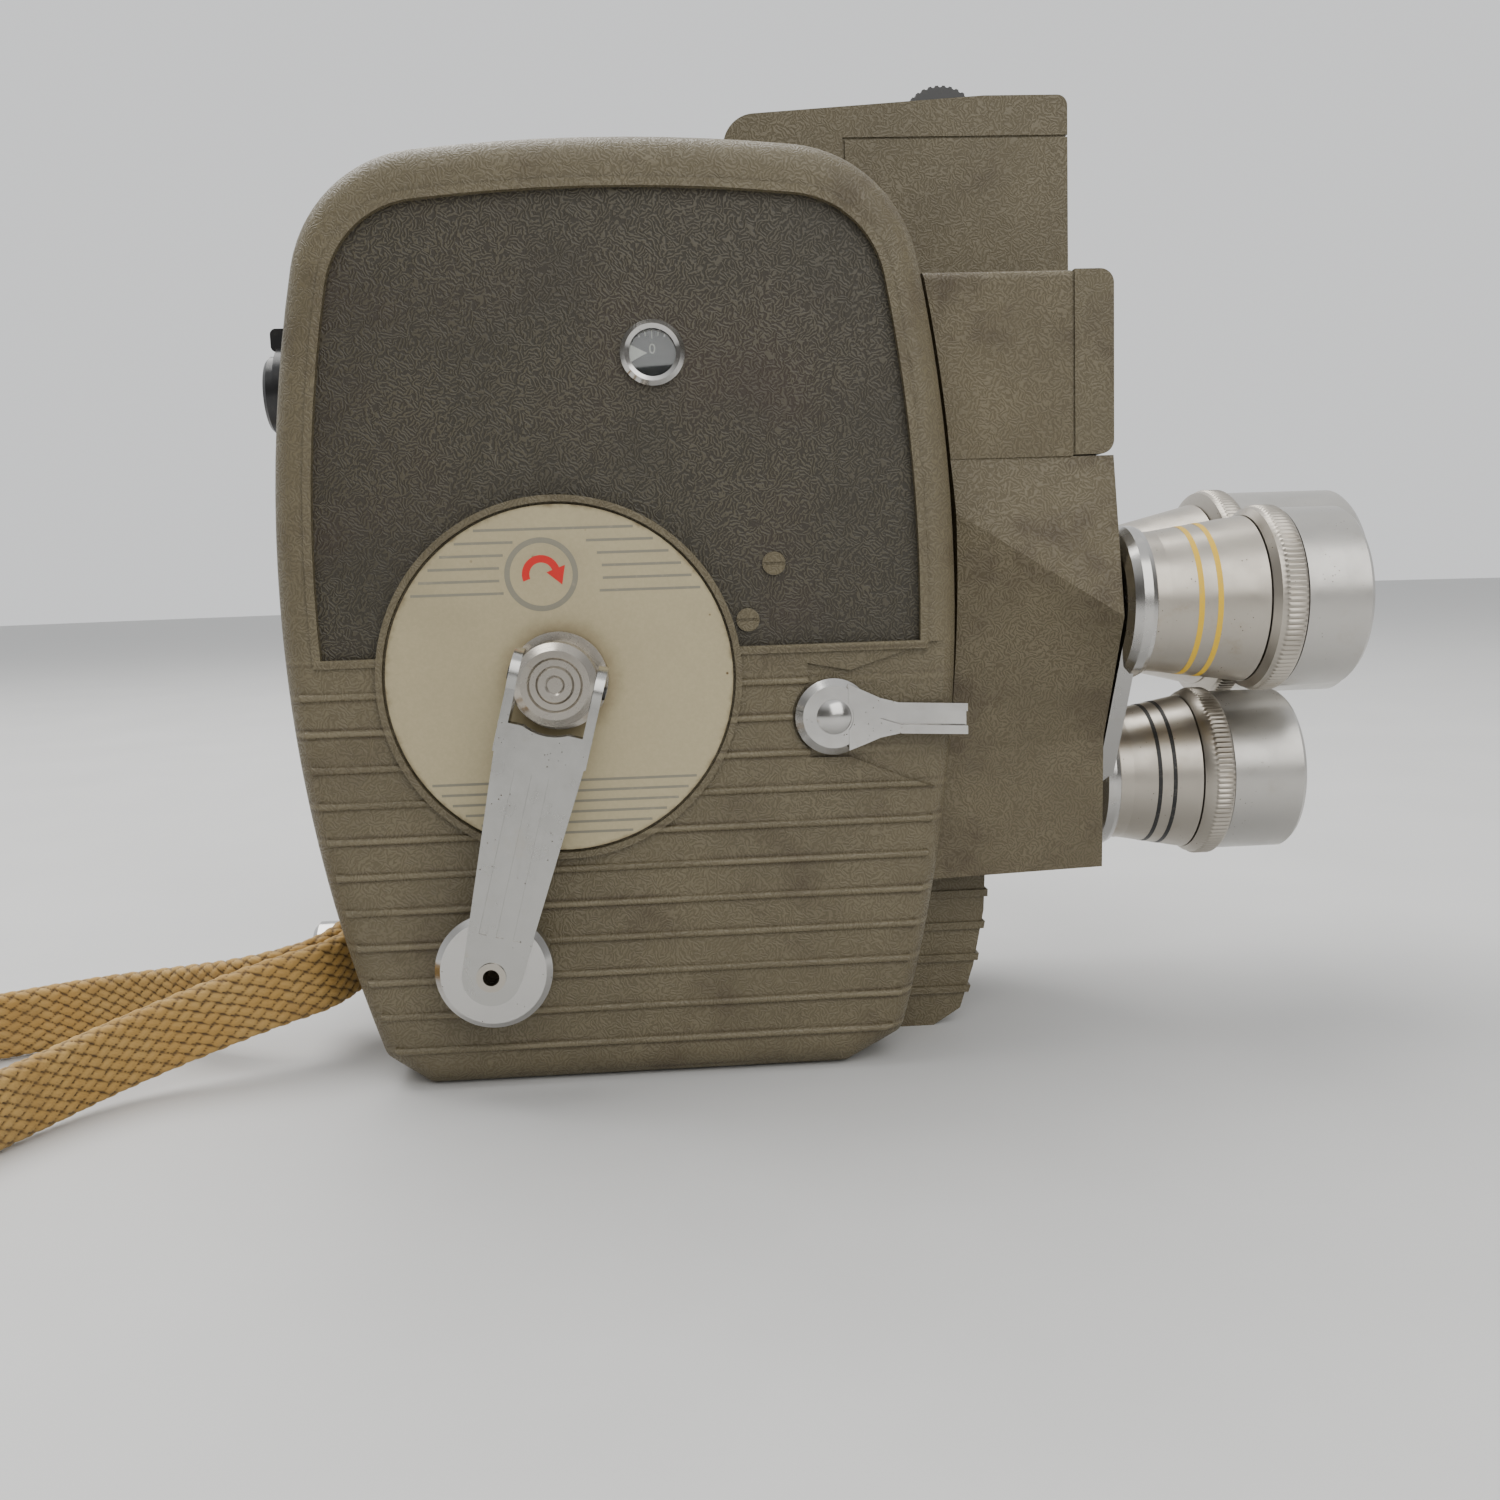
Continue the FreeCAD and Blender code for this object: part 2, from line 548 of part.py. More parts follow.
def crank_arm():
    """Folding crank: two ears, a tapered fluted web and a round tip."""
    inner = HUB_FLAT + RUNNING
    outer = inner + EAR_THICK
    top = HINGE_Y - 3.0
    web_y = top + CRANK_THICK
    tip_z = KEY_Z - CRANK_LENGTH
    web = polygon_y([(KEY_X - CRANK_TOP_HALF, KEY_Z - WEB_START), (KEY_X + CRANK_TOP_HALF, KEY_Z - WEB_START),
                     (KEY_X + CRANK_TIP_R, tip_z), (KEY_X - CRANK_TIP_R, tip_z)], top, web_y)
    tip = cyl_y(KEY_X, tip_z, top, web_y, CRANK_TIP_R)
    arch = cyl_y(KEY_X, KEY_Z, top - 1, web_y + 1, HUB_R + ARCH_AIR)
    body = cut(fuse(web, tip), arch)
    ears = []
    for s in (-1, 1):
        x0, x1 = sorted((KEY_X + s * inner, KEY_X + s * outer))
        round_end = cyl_x(HINGE_Y, KEY_Z, x0, x1, EAR_R)
        strap = box(x0, x1, top, HINGE_Y + 1.6, KEY_Z - WEB_START - 4, KEY_Z)
        ears.append(fuse(round_end, strap))
    flutes = []
    for k in (-1, 0, 1):
        z1 = KEY_Z - WEB_START - 6
        z0 = tip_z + CRANK_TIP_R + 1.5
        flutes.append(box(KEY_X + k * 2.3 - 0.55, KEY_X + k * 2.3 + 0.55, top - 1, top + 0.35, z0, z1))
    holes = [cyl_x(HINGE_Y, KEY_Z, KEY_X - outer - 1, KEY_X + outer + 1, PIN_R + RUNNING),
             cyl_y(KEY_X, tip_z, top - 1, web_y + 1, RIVET_R)]
    return lean(cut(fuse(body, *ears), *flutes, *holes))


def crank_knob():
    """Round knob under the crank's tip, free to turn on its rivet."""
    tip_z = KEY_Z - CRANK_LENGTH
    y1 = HINGE_Y - 3.0 + CRANK_THICK + RUNNING * 2
    y2 = y1 + KNOB_THICK
    dish_r = RIVET_R + RIVET_FLANGE + GAP
    profile = [(y1, RIVET_R + RUNNING), (y1, KNOB_R - 0.8), (y1 + 0.8, KNOB_R), (y2 - 1.4, KNOB_R),
               (y2, KNOB_R - 1.4), (y2, dish_r), (y2 - KNOB_DISH, dish_r), (y2 - KNOB_DISH, RIVET_R + RUNNING)]
    return lean(turned_y(profile, KEY_X, tip_z))


def knob_rivet():
    """Hollow rivet that joins the knob to the crank."""
    tip_z = KEY_Z - CRANK_LENGTH
    top = HINGE_Y - 3.0
    end = top + CRANK_THICK + RUNNING * 2 + KNOB_THICK
    flange = end - KNOB_DISH + RUNNING * 2
    profile = [(top - 0.3, RIVET_HOLE_R), (top - 0.3, RIVET_R), (flange, RIVET_R),
               (flange, RIVET_R + RIVET_FLANGE), (end, RIVET_R + RIVET_FLANGE), (end, RIVET_HOLE_R)]
    return lean(turned_y(profile, KEY_X, tip_z))


def release_lever():
    """Chromed run lever: a round head and an arm with two raised edges."""
    y1 = LEVER_BACK_Y
    y0 = y1 - LEVER_THICK
    head = turned_y([(y1, 0), (y1, LEVER_HEAD_R), (y1 - 1.2, LEVER_HEAD_R), (y0 + 0.4, LEVER_HEAD_R - 1.0),
                     (y0 + 0.4, 0)], LEVER_X, LEVER_Z)
    tip_x = LEVER_X + LEVER_REACH
    along = ((2.0, 4.6), (4.2, 3.7), (6.4, 2.75), (LEVER_WAIST, LEVER_TIP_HALF), (LEVER_REACH, LEVER_TIP_HALF))
    upper = [(LEVER_X + reach, LEVER_Z - LEVER_DROP * reach / LEVER_REACH + half) for reach, half in along]
    lower = [(LEVER_X + reach, LEVER_Z - LEVER_DROP * reach / LEVER_REACH - half) for reach, half in along]
    arm = polygon_y(upper + lower[::-1], y0 + 0.2, y1)
    groove_x = LEVER_X + LEVER_HEAD_R + 1
    groove = polygon_y([(groove_x, LEVER_Z - 0.4), (groove_x + 3, LEVER_Z + 0.6), (tip_x + 1, LEVER_Z + 0.1),
                        (tip_x + 1, LEVER_Z - 1.9), (groove_x + 3, LEVER_Z - 1.4)], y0 - 1, y0 + 1.3)
    bore = cyl_y(LEVER_X, LEVER_Z, y0 - 1, y1 + 1, LEVER_PIVOT_R + RUNNING)
    screw_seat = cyl_y(LEVER_X, LEVER_Z, y0 - 1, y0 + 0.4, LEVER_SCREW_R + GAP)
    return cut(fuse(head, arm), groove, bore, screw_seat)


def lever_screw():
    """Domed pivot screw of the run lever."""
    y0 = LEVER_BACK_Y - LEVER_THICK + 0.4
    dome_r = (LEVER_SCREW_R ** 2 + LEVER_SCREW_RISE ** 2) / (2 * LEVER_SCREW_RISE)
    dome = Part.makeSphere(dome_r, V(LEVER_X, y0 - GAP / 3 - LEVER_SCREW_RISE + dome_r, LEVER_Z))
    cap = dome.common(cyl_y(LEVER_X, LEVER_Z, y0 - 3, y0 - GAP / 3, LEVER_SCREW_R))
    shank = cyl_y(LEVER_X, LEVER_Z, y0 - 0.4, NEAR_Y + 6.5, LEVER_PIVOT_R)
    return fuse(cap, shank)


# ==== main casting ==========================================================================
def direction(angle):
    """Unit vector in the XZ plane, as (x, z), for an angle in degrees."""
    return math.cos(math.radians(angle)), math.sin(math.radians(angle))


def transfer_at():
    """Centre of the transfer arbor, in mesh with the barrel's gear."""
    span = BARREL_MODULE * (BARREL_TEETH + TRANSFER_PINION_TEETH) / 2
    dx, dz = direction(TRANSFER_ANGLE)
    return KEY_X + span * dx, KEY_Z + span * dz


def governor_at():
    """Centre of the governor arbor, in mesh with the transfer wheel."""
    span = TRANSFER_MODULE * (TRANSFER_TEETH + GOVERNOR_PINION_TEETH) / 2
    dx, dz = direction(GOVERNOR_ANGLE)
    x, z = transfer_at()
    return x + span * dx, z + span * dz


def toe_profile():
    """Outline of the casting's front foot, under the turret housing, as (x, z)."""
    reach = FRONT_X + 7.0
    return ((TOE_REAR_X, 0.0), (FRONT_X - 1.4, 0.0), (reach - 4.2, 2.6), (reach - 2.0, 9.5),
            (reach - 0.3, 18.0), (reach, BLOCK_BOTTOM_Z), (TOE_REAR_X, BLOCK_BOTTOM_Z))


def toe():
    """Front foot of the main casting, with the body's ribs carried round it."""
    blank = polygon_y(toe_profile(), TOE_NEAR_Y, DOOR_Y)
    lifted = [(x + RIB_RISE if x > TOE_REAR_X else x, z) for x, z in toe_profile()]
    grown = polygon_y(lifted, TOE_NEAR_Y - RIB_RISE, DOOR_Y)
    slabs = rib_slabs(FRONT_X - 10, FRONT_X + 12, TOE_NEAR_Y - 2, DOOR_Y)
    below = box(REAR_X, FACE_X, NEAR_Y, FAR_Y, 0, BLOCK_BOTTOM_Z - 0.5)
    return fuse(blank, grown.common(slabs).common(below))


def side_region():
    """Everything that the main casting's own outline and toe fill, for other pieces to stand clear of."""
    lower = polygon_y(toe_profile(), SPLIT_Y, FAR_Y)
    return fuse(outline_prism(SPLIT_Y, FAR_Y), lower)


def strap_boss():
    """Boss through the leaning rear wall: the strap's upright seat outside, the screw's thread inside."""
    seat_x = STRAP_INNER_X + STRAP_THICK / 2 + WASHER_THICK
    return cyl_x(STRAP_SCREW_Y, STRAP_SCREW_Z, seat_x, REAR_X + 15.0, 4.5)


def main_casting():
    """Body casting: outer wall, web between motor and film, toe, bosses and openings."""
    ring = outline_prism(SPLIT_Y, DOOR_Y)
    cover_space = outline_prism(NEAR_Y - 3, SPLIT_Y, SEAM)
    shell = fuse(ring, cut(toe(), cover_space))
    motor_side = outline_prism(SPLIT_Y - 1, WEB_Y, -WALL)
    film_side = outline_prism(FILM_Y, DOOR_Y + 1, -WALL)
    film_window = box(FRONT_X - 10, FRONT_X + 2, FILM_Y, DOOR_Y + 1, GATE_LOW_Z, GATE_HIGH_Z)
    shell = cut(shell, motor_side, film_side, film_window)
    bosses = [cyl_y(SPOOL_X, z, WEB_Y, FILM_Y + 1.2, 5.0) for z in (TAKEUP_Z, FEED_Z)]
    bosses.append(strap_boss())
    socket = cyl_z(0, 0, 0, TRIPOD_DEPTH + 2, TRIPOD_BUSH_R + 2.4)
    bosses.append(socket.common(box(-20, 20, SPLIT_Y, 20, 0, 40)))
    tools = [cyl_y(SPOOL_X, z, WEB_Y - 1, FILM_Y + 2, SPINDLE_R + RUNNING) for z in (TAKEUP_Z, FEED_Z)]
    tools += [cyl_y(x, z, WEB_Y - 1, WEB_Y + 1.6, ARBOR_SMALL_R + RUNNING) for x, z in (transfer_at(), governor_at())]
    tools.append(cyl_z(0, 0, -1, TRIPOD_DEPTH, TRIPOD_BUSH_R))
    tools.append(cyl_x(FINDER_Y, FINDER_Z, REAR_X - 2, FRONT_X + 2, FINDER_TUBE_R + RUNNING))
    tools.append(cyl_x(STRAP_SCREW_Y, STRAP_SCREW_Z, REAR_X - 2, REAR_X + 14, STRAP_SHANK_R))
    return cut(fuse(shell, *bosses), *tools)


def tripod_bush():
    """Steel bush with the standard tripod thread, pressed into the base."""
    return cut(cyl_z(0, 0, 0, TRIPOD_DEPTH, TRIPOD_BUSH_R), cyl_z(0, 0, -1, TRIPOD_DEPTH - 1.0, TRIPOD_R))


# ==== strap =================================================================================
STRAP_ROUTE = (
    (STRAP_OUTER_X, STRAP_SCREW_Y + 4.0, STRAP_SCREW_Z),
    (STRAP_OUTER_X, STRAP_SCREW_Y - 9.5, STRAP_SCREW_Z - 0.2),
    (-57.5, -12.5, 11.3),
    (-73.0, -2.0, 7.6),
    (-88.0, 2.0, LIE_Z + 0.3),
    (-103.0, -6.5, LIE_Z),
    (-123.0, -14.0, LIE_Z),
    (-142.0, -29.0, LIE_Z),
    (-152.0, -51.0, LIE_Z),
    (-146.0, -74.0, LIE_Z),
    (-125.0, -85.0, LIE_Z),
    (-103.0, -77.0, LIE_Z),
    (-90.5, -59.0, LIE_Z),
    (-82.6, -40.6, LIE_Z),
    (-72.5, -24.0, 6.9),
    (-55.5, -17.8, 11.9),
    (STRAP_INNER_X, STRAP_SCREW_Y - 11.5, STRAP_SCREW_Z - 0.2),
    (STRAP_INNER_X, STRAP_SCREW_Y + 3.5, STRAP_SCREW_Z),
)


def rounded_route(points):
    """Straight runs joined by tangent arcs; returns the wire, its length and the arc radii."""
    points = [V(*point) for point in points]
    edges = []
    radii = []
    start = points[0]
    for before, corner, after in zip(points, points[1:], points[2:]):
        to_before = (before - corner).normalize()
        to_after = (after - corner).normalize()
        reach = 0.45 * min((before - corner).Length, (after - corner).Length)
        half_turn = (math.pi - to_before.getAngle(to_after)) / 2
        radii.append(reach / math.tan(half_turn))
        first = corner + to_before * reach
        last = corner + to_after * reach
        bisector = (to_before + to_after).normalize()
        middle = corner + bisector * (radii[-1] / math.cos(half_turn) - radii[-1])
        edges.append(Part.LineSegment(start, first).toShape())
        edges.append(Part.Arc(first, middle, last).toShape())
        start = last
    edges.append(Part.LineSegment(start, points[-1]).toShape())
    wire = Part.Wire(edges)
    return wire, sum(edge.Length for edge in edges), radii


def strap():
    """Flat braided wrist strap, standing on its edge, its two ends in layers under the strap screw."""
    wire, length, radii = rounded_route(STRAP_ROUTE)
    start = V(*STRAP_ROUTE[0])
    half_w = STRAP_WIDTH / 2
    half_t = STRAP_THICK / 2
    section = Part.makePolygon([start + V(dx, 0, dz) for dx, dz in
                                ((-half_t, -half_w), (half_t, -half_w), (half_t, half_w), (-half_t, half_w),
                                 (-half_t, -half_w))])
    pipe = Part.BRepOffsetAPI.MakePipeShell(wire)
    pipe.setBiNormalMode(V(0, 0, 1))
    pipe.add(section, False, False)
    pipe.setTransitionMode(1)
    pipe.build()
    pipe.makeSolid()
    solid = pipe.shape()
    print("strap: length %.1f, smallest radius %.1f, largest %.1f" % (length, min(radii), max(radii)))
    print("strap radii:", " ".join("%.0f" % r for r in radii))
    print("strap: volume %.0f, section x length %.0f" % (solid.Volume, STRAP_WIDTH * STRAP_THICK * length))
    face = STRAP_OUTER_X - half_t
    head_room = cyl_x(STRAP_SCREW_Y, STRAP_SCREW_Z, face - 4.0, face, STRAP_SCREW_R + RUNNING)
    return cut(solid, head_room, cyl_x(STRAP_SCREW_Y, STRAP_SCREW_Z, REAR_X - 6, REAR_X + 14, STRAP_SHANK_R))


def strap_washer():
    """Serrated washer between the strap and its boss."""
    x0 = STRAP_INNER_X + STRAP_THICK / 2
    disc = cyl_x(STRAP_SCREW_Y, STRAP_SCREW_Z, x0, x0 + WASHER_THICK, WASHER_R)
    return cut(disc, cyl_x(STRAP_SCREW_Y, STRAP_SCREW_Z, x0 - 1, x0 + 3, STRAP_SHANK_R))


def strap_screw():
    """Knurl-headed screw that clamps both ends of the strap against the rear wall."""
    face = STRAP_OUTER_X - STRAP_THICK / 2
    head = turned_x([(face, 0), (face, STRAP_SCREW_R), (face - 2.8, STRAP_SCREW_R),
                     (face - 3.6, STRAP_SCREW_R - 0.8), (face - 3.6, 0)], STRAP_SCREW_Y, STRAP_SCREW_Z)
    slot = box(face - 5, face - 2.8, STRAP_SCREW_Y - 5, STRAP_SCREW_Y + 5, STRAP_SCREW_Z - 0.5, STRAP_SCREW_Z + 0.5)
    shank = cyl_x(STRAP_SCREW_Y, STRAP_SCREW_Z, face, REAR_X + 14, STRAP_SHANK_R)
    return fuse(cut(head, slot), shank)


# ==== front casting =========================================================================
def block_section(x, half_ridge, ridge_z, crease_half, crease_z, top_half, bottom_half, far):
    """One cross-section of the turret housing: near side shaped, far side flat or shaped alike."""
    near = [(-bottom_half, BLOCK_BOTTOM_Z), (-crease_half, crease_z), (-half_ridge, ridge_z), (-top_half, LOWER_TOP_Z)]
    if far is None:
        away = [(top_half, LOWER_TOP_Z), (half_ridge, ridge_z), (crease_half, crease_z), (bottom_half, BLOCK_BOTTOM_Z)]
    else:
        away = [(far, LOWER_TOP_Z), (far, ridge_z), (far, crease_z), (far, BLOCK_BOTTOM_Z)]
    corners = near + away
    return Part.makePolygon([V(x, y, z) for y, z in corners + [corners[0]]])


def turret_housing():
    """Lower front casting: it flares towards the turret, with a flange behind the turret's lobes."""
    rear_x = FRONT_X - 6.0
    flange_x = FACE_X - BEZEL_THICK
    part_way = (flange_x - rear_x) / (FACE_X - rear_x)

    def blend(rear, front):
        return rear + (front - rear) * part_way

    rear = block_section(rear_x, 20.4, 83.0, 18.6, 43.0, 20.4, 18.4, DOOR_Y)
    middle_values = (blend(20.4, 25.0), blend(83.0, 63.0), blend(18.6, 15.2), blend(43.0, 44.5),
                     blend(20.4, 20.2), blend(18.4, 14.4))
    middle = block_section(flange_x, *middle_values, DOOR_Y)
    body = Part.makeLoft([rear, middle], True, True)
    flange_rear = block_section(flange_x, *middle_values, None)
    flange_front = block_section(FACE_X, 25.0, 63.0, 15.2, 44.5, 20.2, 14.4, None)
    flange = Part.makeLoft([flange_rear, flange_front], True, True)
    return fuse(body, flange)


def shutter_room(air):
    """Round room for the shutter, with some air at its rim."""
    return cyl_x(SHUTTER_Y, SHUTTER_Z, GATE_X + 2.4, GATE_X + 6.4, SHUTTER_R + air)


def front_casting():
    """Turret housing and finder block in one casting, hollow behind the turret and open to the film side."""
    flange_x = FACE_X - BEZEL_THICK
    finder = box(FRONT_X - 8, flange_x, FINDER_NEAR_Y, DOOR_Y, LOWER_TOP_Z, FINDER_TOP_Z)
    finder = finder.makeFillet(1.2, edges_where(finder, lambda b: b.ZMin > FINDER_TOP_Z - 0.1 and b.YMax < 0))
    solid = fuse(turret_housing(), finder)
    cavity = box(FRONT_X + 0.5, FACE_X - 3.0, -12.0, DOOR_Y + 1, GATE_LOW_Z - 6, GATE_HIGH_Z - 4)
    upper_cavity = box(FRONT_X - 9, flange_x - 2.0, FINDER_Y + FINDER_TUBE_R + 3, DOOR_Y + 1,
                       LOWER_TOP_Z + 4, FINDER_TOP_Z - 2)
    taking = (LENS_CIRCLE_R * math.cos(math.radians(30)), TURRET_Z + LENS_CIRCLE_R / 2)
    tools = [cavity, shutter_room(GAP), upper_cavity, outline_prism(NEAR_Y - 3, SPLIT_Y, SEAM), side_region(),
             cyl_x(FINDER_Y, FINDER_Z, FRONT_X - 9, FACE_X, FINDER_TUBE_R + RUNNING),
             cyl_x(*taking, FACE_X - 4, FACE_X + 1, 5.5),
             cyl_x(0, TURRET_Z, FACE_X - 4, FACE_X + 1, TURRET_PIVOT_R)]
    pivot_boss = cyl_x(0, TURRET_Z, FACE_X - PIVOT_BOSS_DEPTH, FACE_X - 2.9, TURRET_PIVOT_R + 2.0)
    pivot_boss = cut(pivot_boss, cyl_x(0, TURRET_Z, FACE_X - 9, FACE_X + 1, TURRET_PIVOT_R))
    return fuse(cut(solid, *tools), pivot_boss)


def finder_bezel():
    """Front plate of the finder block, with the finder's window."""
    x0 = FACE_X - BEZEL_THICK
    plate = box(x0, FACE_X, FINDER_NEAR_Y, FAR_Y - 1.0, LOWER_TOP_Z + 0.2, FINDER_TOP_Z)
    plate = plate.makeFillet(2.0, edges_where(plate, lambda b: b.YMax - b.YMin > 10 and b.XMin > FACE_X - 0.1))
    window = box(x0 - 1, FACE_X + 1, FINDER_Y - 5.6, FINDER_Y + 7.0, FINDER_Z - 4.6, FINDER_Z + 4.6)
    side_line = box(x0, x0 + JOINT_WIDTH, FINDER_NEAR_Y - 1, FINDER_NEAR_Y + JOINT_DEPTH, LOWER_TOP_Z, FINDER_TOP_Z + 1)
    top_line = box(x0, x0 + JOINT_WIDTH, FINDER_NEAR_Y - 1, FAR_Y, FINDER_TOP_Z - JOINT_DEPTH, FINDER_TOP_Z + 1)
    return cut(plate, window, side_line, top_line)


def finder_objective():
    """Front glass of the finder, set in the bezel's window."""
    x0 = FACE_X - BEZEL_THICK
    return box(x0 + 2.5, x0 + 4.0, FINDER_Y - 5.6, FINDER_Y + 7.0, FINDER_Z - 4.6, FINDER_Z + 4.6)


def finder_tube():
    """Blackened tube of the finder, from the eyepiece to the bezel."""
    tube = cyl_x(FINDER_Y, FINDER_Z, REAR_X + 5, FACE_X - BEZEL_THICK, FINDER_TUBE_R)
    return cut(tube, cyl_x(FINDER_Y, FINDER_Z, REAR_X, FACE_X, FINDER_TUBE_R - 0.8))


def collar_span():
    """X of the focusing collar's rear and front faces, just clear of the rear wall."""
    front = rear_wall_x(FINDER_Z - COLLAR_R) - GAP
    return front - COLLAR_THICK, front


def eye_stations():
    """X of the eyepiece's flange behind the collar, and of its outer end."""
    seat = collar_span()[0] - GAP / 2
    return seat, seat - EYE_FLANGE


def eyepiece():
    """Black eyepiece cup, its neck through the cover's rear wall."""
    neck = REAR_X + 5.0
    seat, end = eye_stations()
    profile = [(neck, FINDER_TUBE_R - 1.4), (neck, FINDER_TUBE_R), (seat, FINDER_TUBE_R),
               (seat, 5.4), (end + 0.5, 5.4), (end, 4.9), (end, 4.0), (end + 0.8, FINDER_TUBE_R - 1.4)]
    return turned_x(profile, FINDER_Y, FINDER_Z)


def eyepiece_lens():
    """Eye lens, set in the cup."""
    end = eye_stations()[1]
    return cyl_x(FINDER_Y, FINDER_Z, end + 0.9, end + 2.5, FINDER_TUBE_R - 1.4)


def focus_tab():
    """Turning collar of the eyepiece with its finger tab."""
    x0, x1 = collar_span()
    tab_x = x0 - 1.0
    collar = cyl_x(FINDER_Y, FINDER_Z, x0, x1, COLLAR_R)
    tab = box(tab_x, x1, FINDER_Y - 1.8, FINDER_Y + 1.8, FINDER_Z + 5.8, FINDER_Z + 9.0)
    tab = tab.makeFillet(0.8, edges_where(tab, lambda b: b.YMax - b.YMin > 3 and b.XMax < tab_x + 0.1))
    return cut(fuse(collar, tab), cyl_x(FINDER_Y, FINDER_Z, x0 - 1, x1 + 1, FINDER_TUBE_R + RUNNING))


# ==== exposure meter ========================================================================
def meter_housing():
    """Box of the exposure meter, beside the finder block, open at the front for the cell."""
    block = box(METER_REAR_X, FACE_X, METER_NEAR_Y, METER_FAR_Y, FINDER_TOP_Z - 8, METER_LID_Z)
    block = cut(block, outline_prism(NEAR_Y, DOOR_Y), outline_prism(DOOR_Y, FAR_Y + 1, GAP),
                box(FRONT_X - 12, FACE_X + 1, NEAR_Y, FAR_Y, 0, FINDER_TOP_Z))
    hollow = box(METER_REAR_X + WALL, FACE_X - 4, METER_NEAR_Y + WALL, METER_FAR_Y - WALL,
                 BODY_HEIGHT + 0.8, METER_LID_Z - METER_LID)
    front = box(FRONT_X - 1, FACE_X - 4, METER_NEAR_Y + WALL, METER_FAR_Y - WALL, FINDER_TOP_Z + WALL, METER_LID_Z - METER_LID)
    window = box(FACE_X - 5, FACE_X + 1, METER_NEAR_Y + 3.5, METER_FAR_Y - 3.5, FINDER_TOP_Z + 4, METER_LID_Z - 3)
    lid_ring = cut(box(METER_REAR_X - 1, FACE_X + 1, METER_NEAR_Y - 1, METER_FAR_Y + 1,
                       METER_LID_Z - JOINT_WIDTH, METER_LID_Z),
                   box(METER_REAR_X - 2, FACE_X - JOINT_DEPTH, METER_NEAR_Y + JOINT_DEPTH, METER_FAR_Y - JOINT_DEPTH,
                       METER_LID_Z - 1, METER_LID_Z + 1))
    rear_line = box(METER_REAR_X, METER_REAR_X + JOINT_WIDTH, METER_NEAR_Y - 1, METER_NEAR_Y + JOINT_DEPTH,
                    FINDER_TOP_Z - 8, METER_LID_Z)
    return cut(block, hollow, front, window, wheel_slot(), lid_ring, rear_line)


def wheel_slot():
    """Room for the film-speed wheel through the cap and the housing's lid."""
    half = DIALWHEEL_WIDTH / 2 + GAP
    reach = DIALWHEEL_R + 2 * GAP
    z = CAP_TOP_Z + DIALWHEEL_PROUD - DIALWHEEL_R
    slot = box(DIALWHEEL_X - reach, DIALWHEEL_X + reach, DIALWHEEL_Y - half, DIALWHEEL_Y + half,
               z - reach, CAP_TOP_Z + 1)
    return fuse(slot, cyl_y(DIALWHEEL_X, z, DIALWHEEL_Y - half - 1.5, DIALWHEEL_Y + half + 1.5, 1.0 + RUNNING))


def meter_cell():
    """Selenium cell behind the meter's window."""
    return box(FACE_X - 4.0, FACE_X - 3.0, METER_NEAR_Y + 3.5, METER_FAR_Y - 3.5, FINDER_TOP_Z + 4, METER_LID_Z - 3)


def meter_window():
    """Ribbed window over the cell."""
    y0 = METER_NEAR_Y + 3.5
    y1 = METER_FAR_Y - 3.5
    pane = box(FACE_X - 2.2, FACE_X - 1.2, y0, y1, FINDER_TOP_Z + 4, METER_LID_Z - 3)
    count = 7
    pitch = (y1 - y0) / count
    rods = [cyl_z(FACE_X - 1.2, y0 + pitch * (k + 0.5), FINDER_TOP_Z + 4, METER_LID_Z - 3, 0.9) for k in range(count)]
    return fuse(pane, *rods)


def meter_movement():
    """Moving-coil movement of the meter."""
    y = (METER_NEAR_Y + METER_FAR_Y) / 2
    body = cyl_z(FRONT_X + 9, y, FINDER_TOP_Z + WALL, FINDER_TOP_Z + WALL + 13, 8.5)
    return fuse(body, cyl_z(FRONT_X + 9, y, FINDER_TOP_Z + WALL + 13, FINDER_TOP_Z + WALL + 15, 2.0))


def meter_cap():
    """Sloping top cap of the meter housing, running down to the body at the rear."""
    profile = [(CAP_REAR_X, FINDER_TOP_Z + 8), (CAP_REAR_X, CAP_REAR_Z), (METER_REAR_X + 22, CAP_TOP_Z),
               (FACE_X, CAP_TOP_Z), (FACE_X, METER_LID_Z), (METER_REAR_X, METER_LID_Z),
               (METER_REAR_X, FINDER_TOP_Z + 8)]
    cap = polygon_y(profile, METER_NEAR_Y, METER_FAR_Y)
    cap = cap.makeFillet(CAP_ROUND, edges_where(cap, lambda b: b.XMax < CAP_REAR_X + 0.1 and b.ZMin > CAP_REAR_Z - 0.1))
    cap = cap.makeFillet(1.6, edges_where(cap, lambda b: b.XMin > FACE_X - 0.1 and b.ZMin > CAP_TOP_Z - 0.1))
    return cut(cap, outline_prism(NEAR_Y, DOOR_Y), outline_prism(DOOR_Y, FAR_Y + 1, GAP), wheel_slot())


def setting_wheel():
    """Film-speed wheel, its rim just proud of the cap, on stub axles."""
    z = CAP_TOP_Z + DIALWHEEL_PROUD - DIALWHEEL_R
    half = DIALWHEEL_WIDTH / 2
    wheel = cyl_y(DIALWHEEL_X, z, DIALWHEEL_Y - half, DIALWHEEL_Y + half, DIALWHEEL_R)
    teeth = [cyl_y(DIALWHEEL_X + (DIALWHEEL_R + 0.1) * math.cos(a), z + (DIALWHEEL_R + 0.1) * math.sin(a),
                   DIALWHEEL_Y - half - 1, DIALWHEEL_Y + half + 1, 0.35)
             for a in (2 * math.pi * k / 36 for k in range(36))]
    axle = cyl_y(DIALWHEEL_X, z, DIALWHEEL_Y - half - 1.6, DIALWHEEL_Y + half + 1.6, 1.0)
    return fuse(cut(wheel, *teeth), axle)


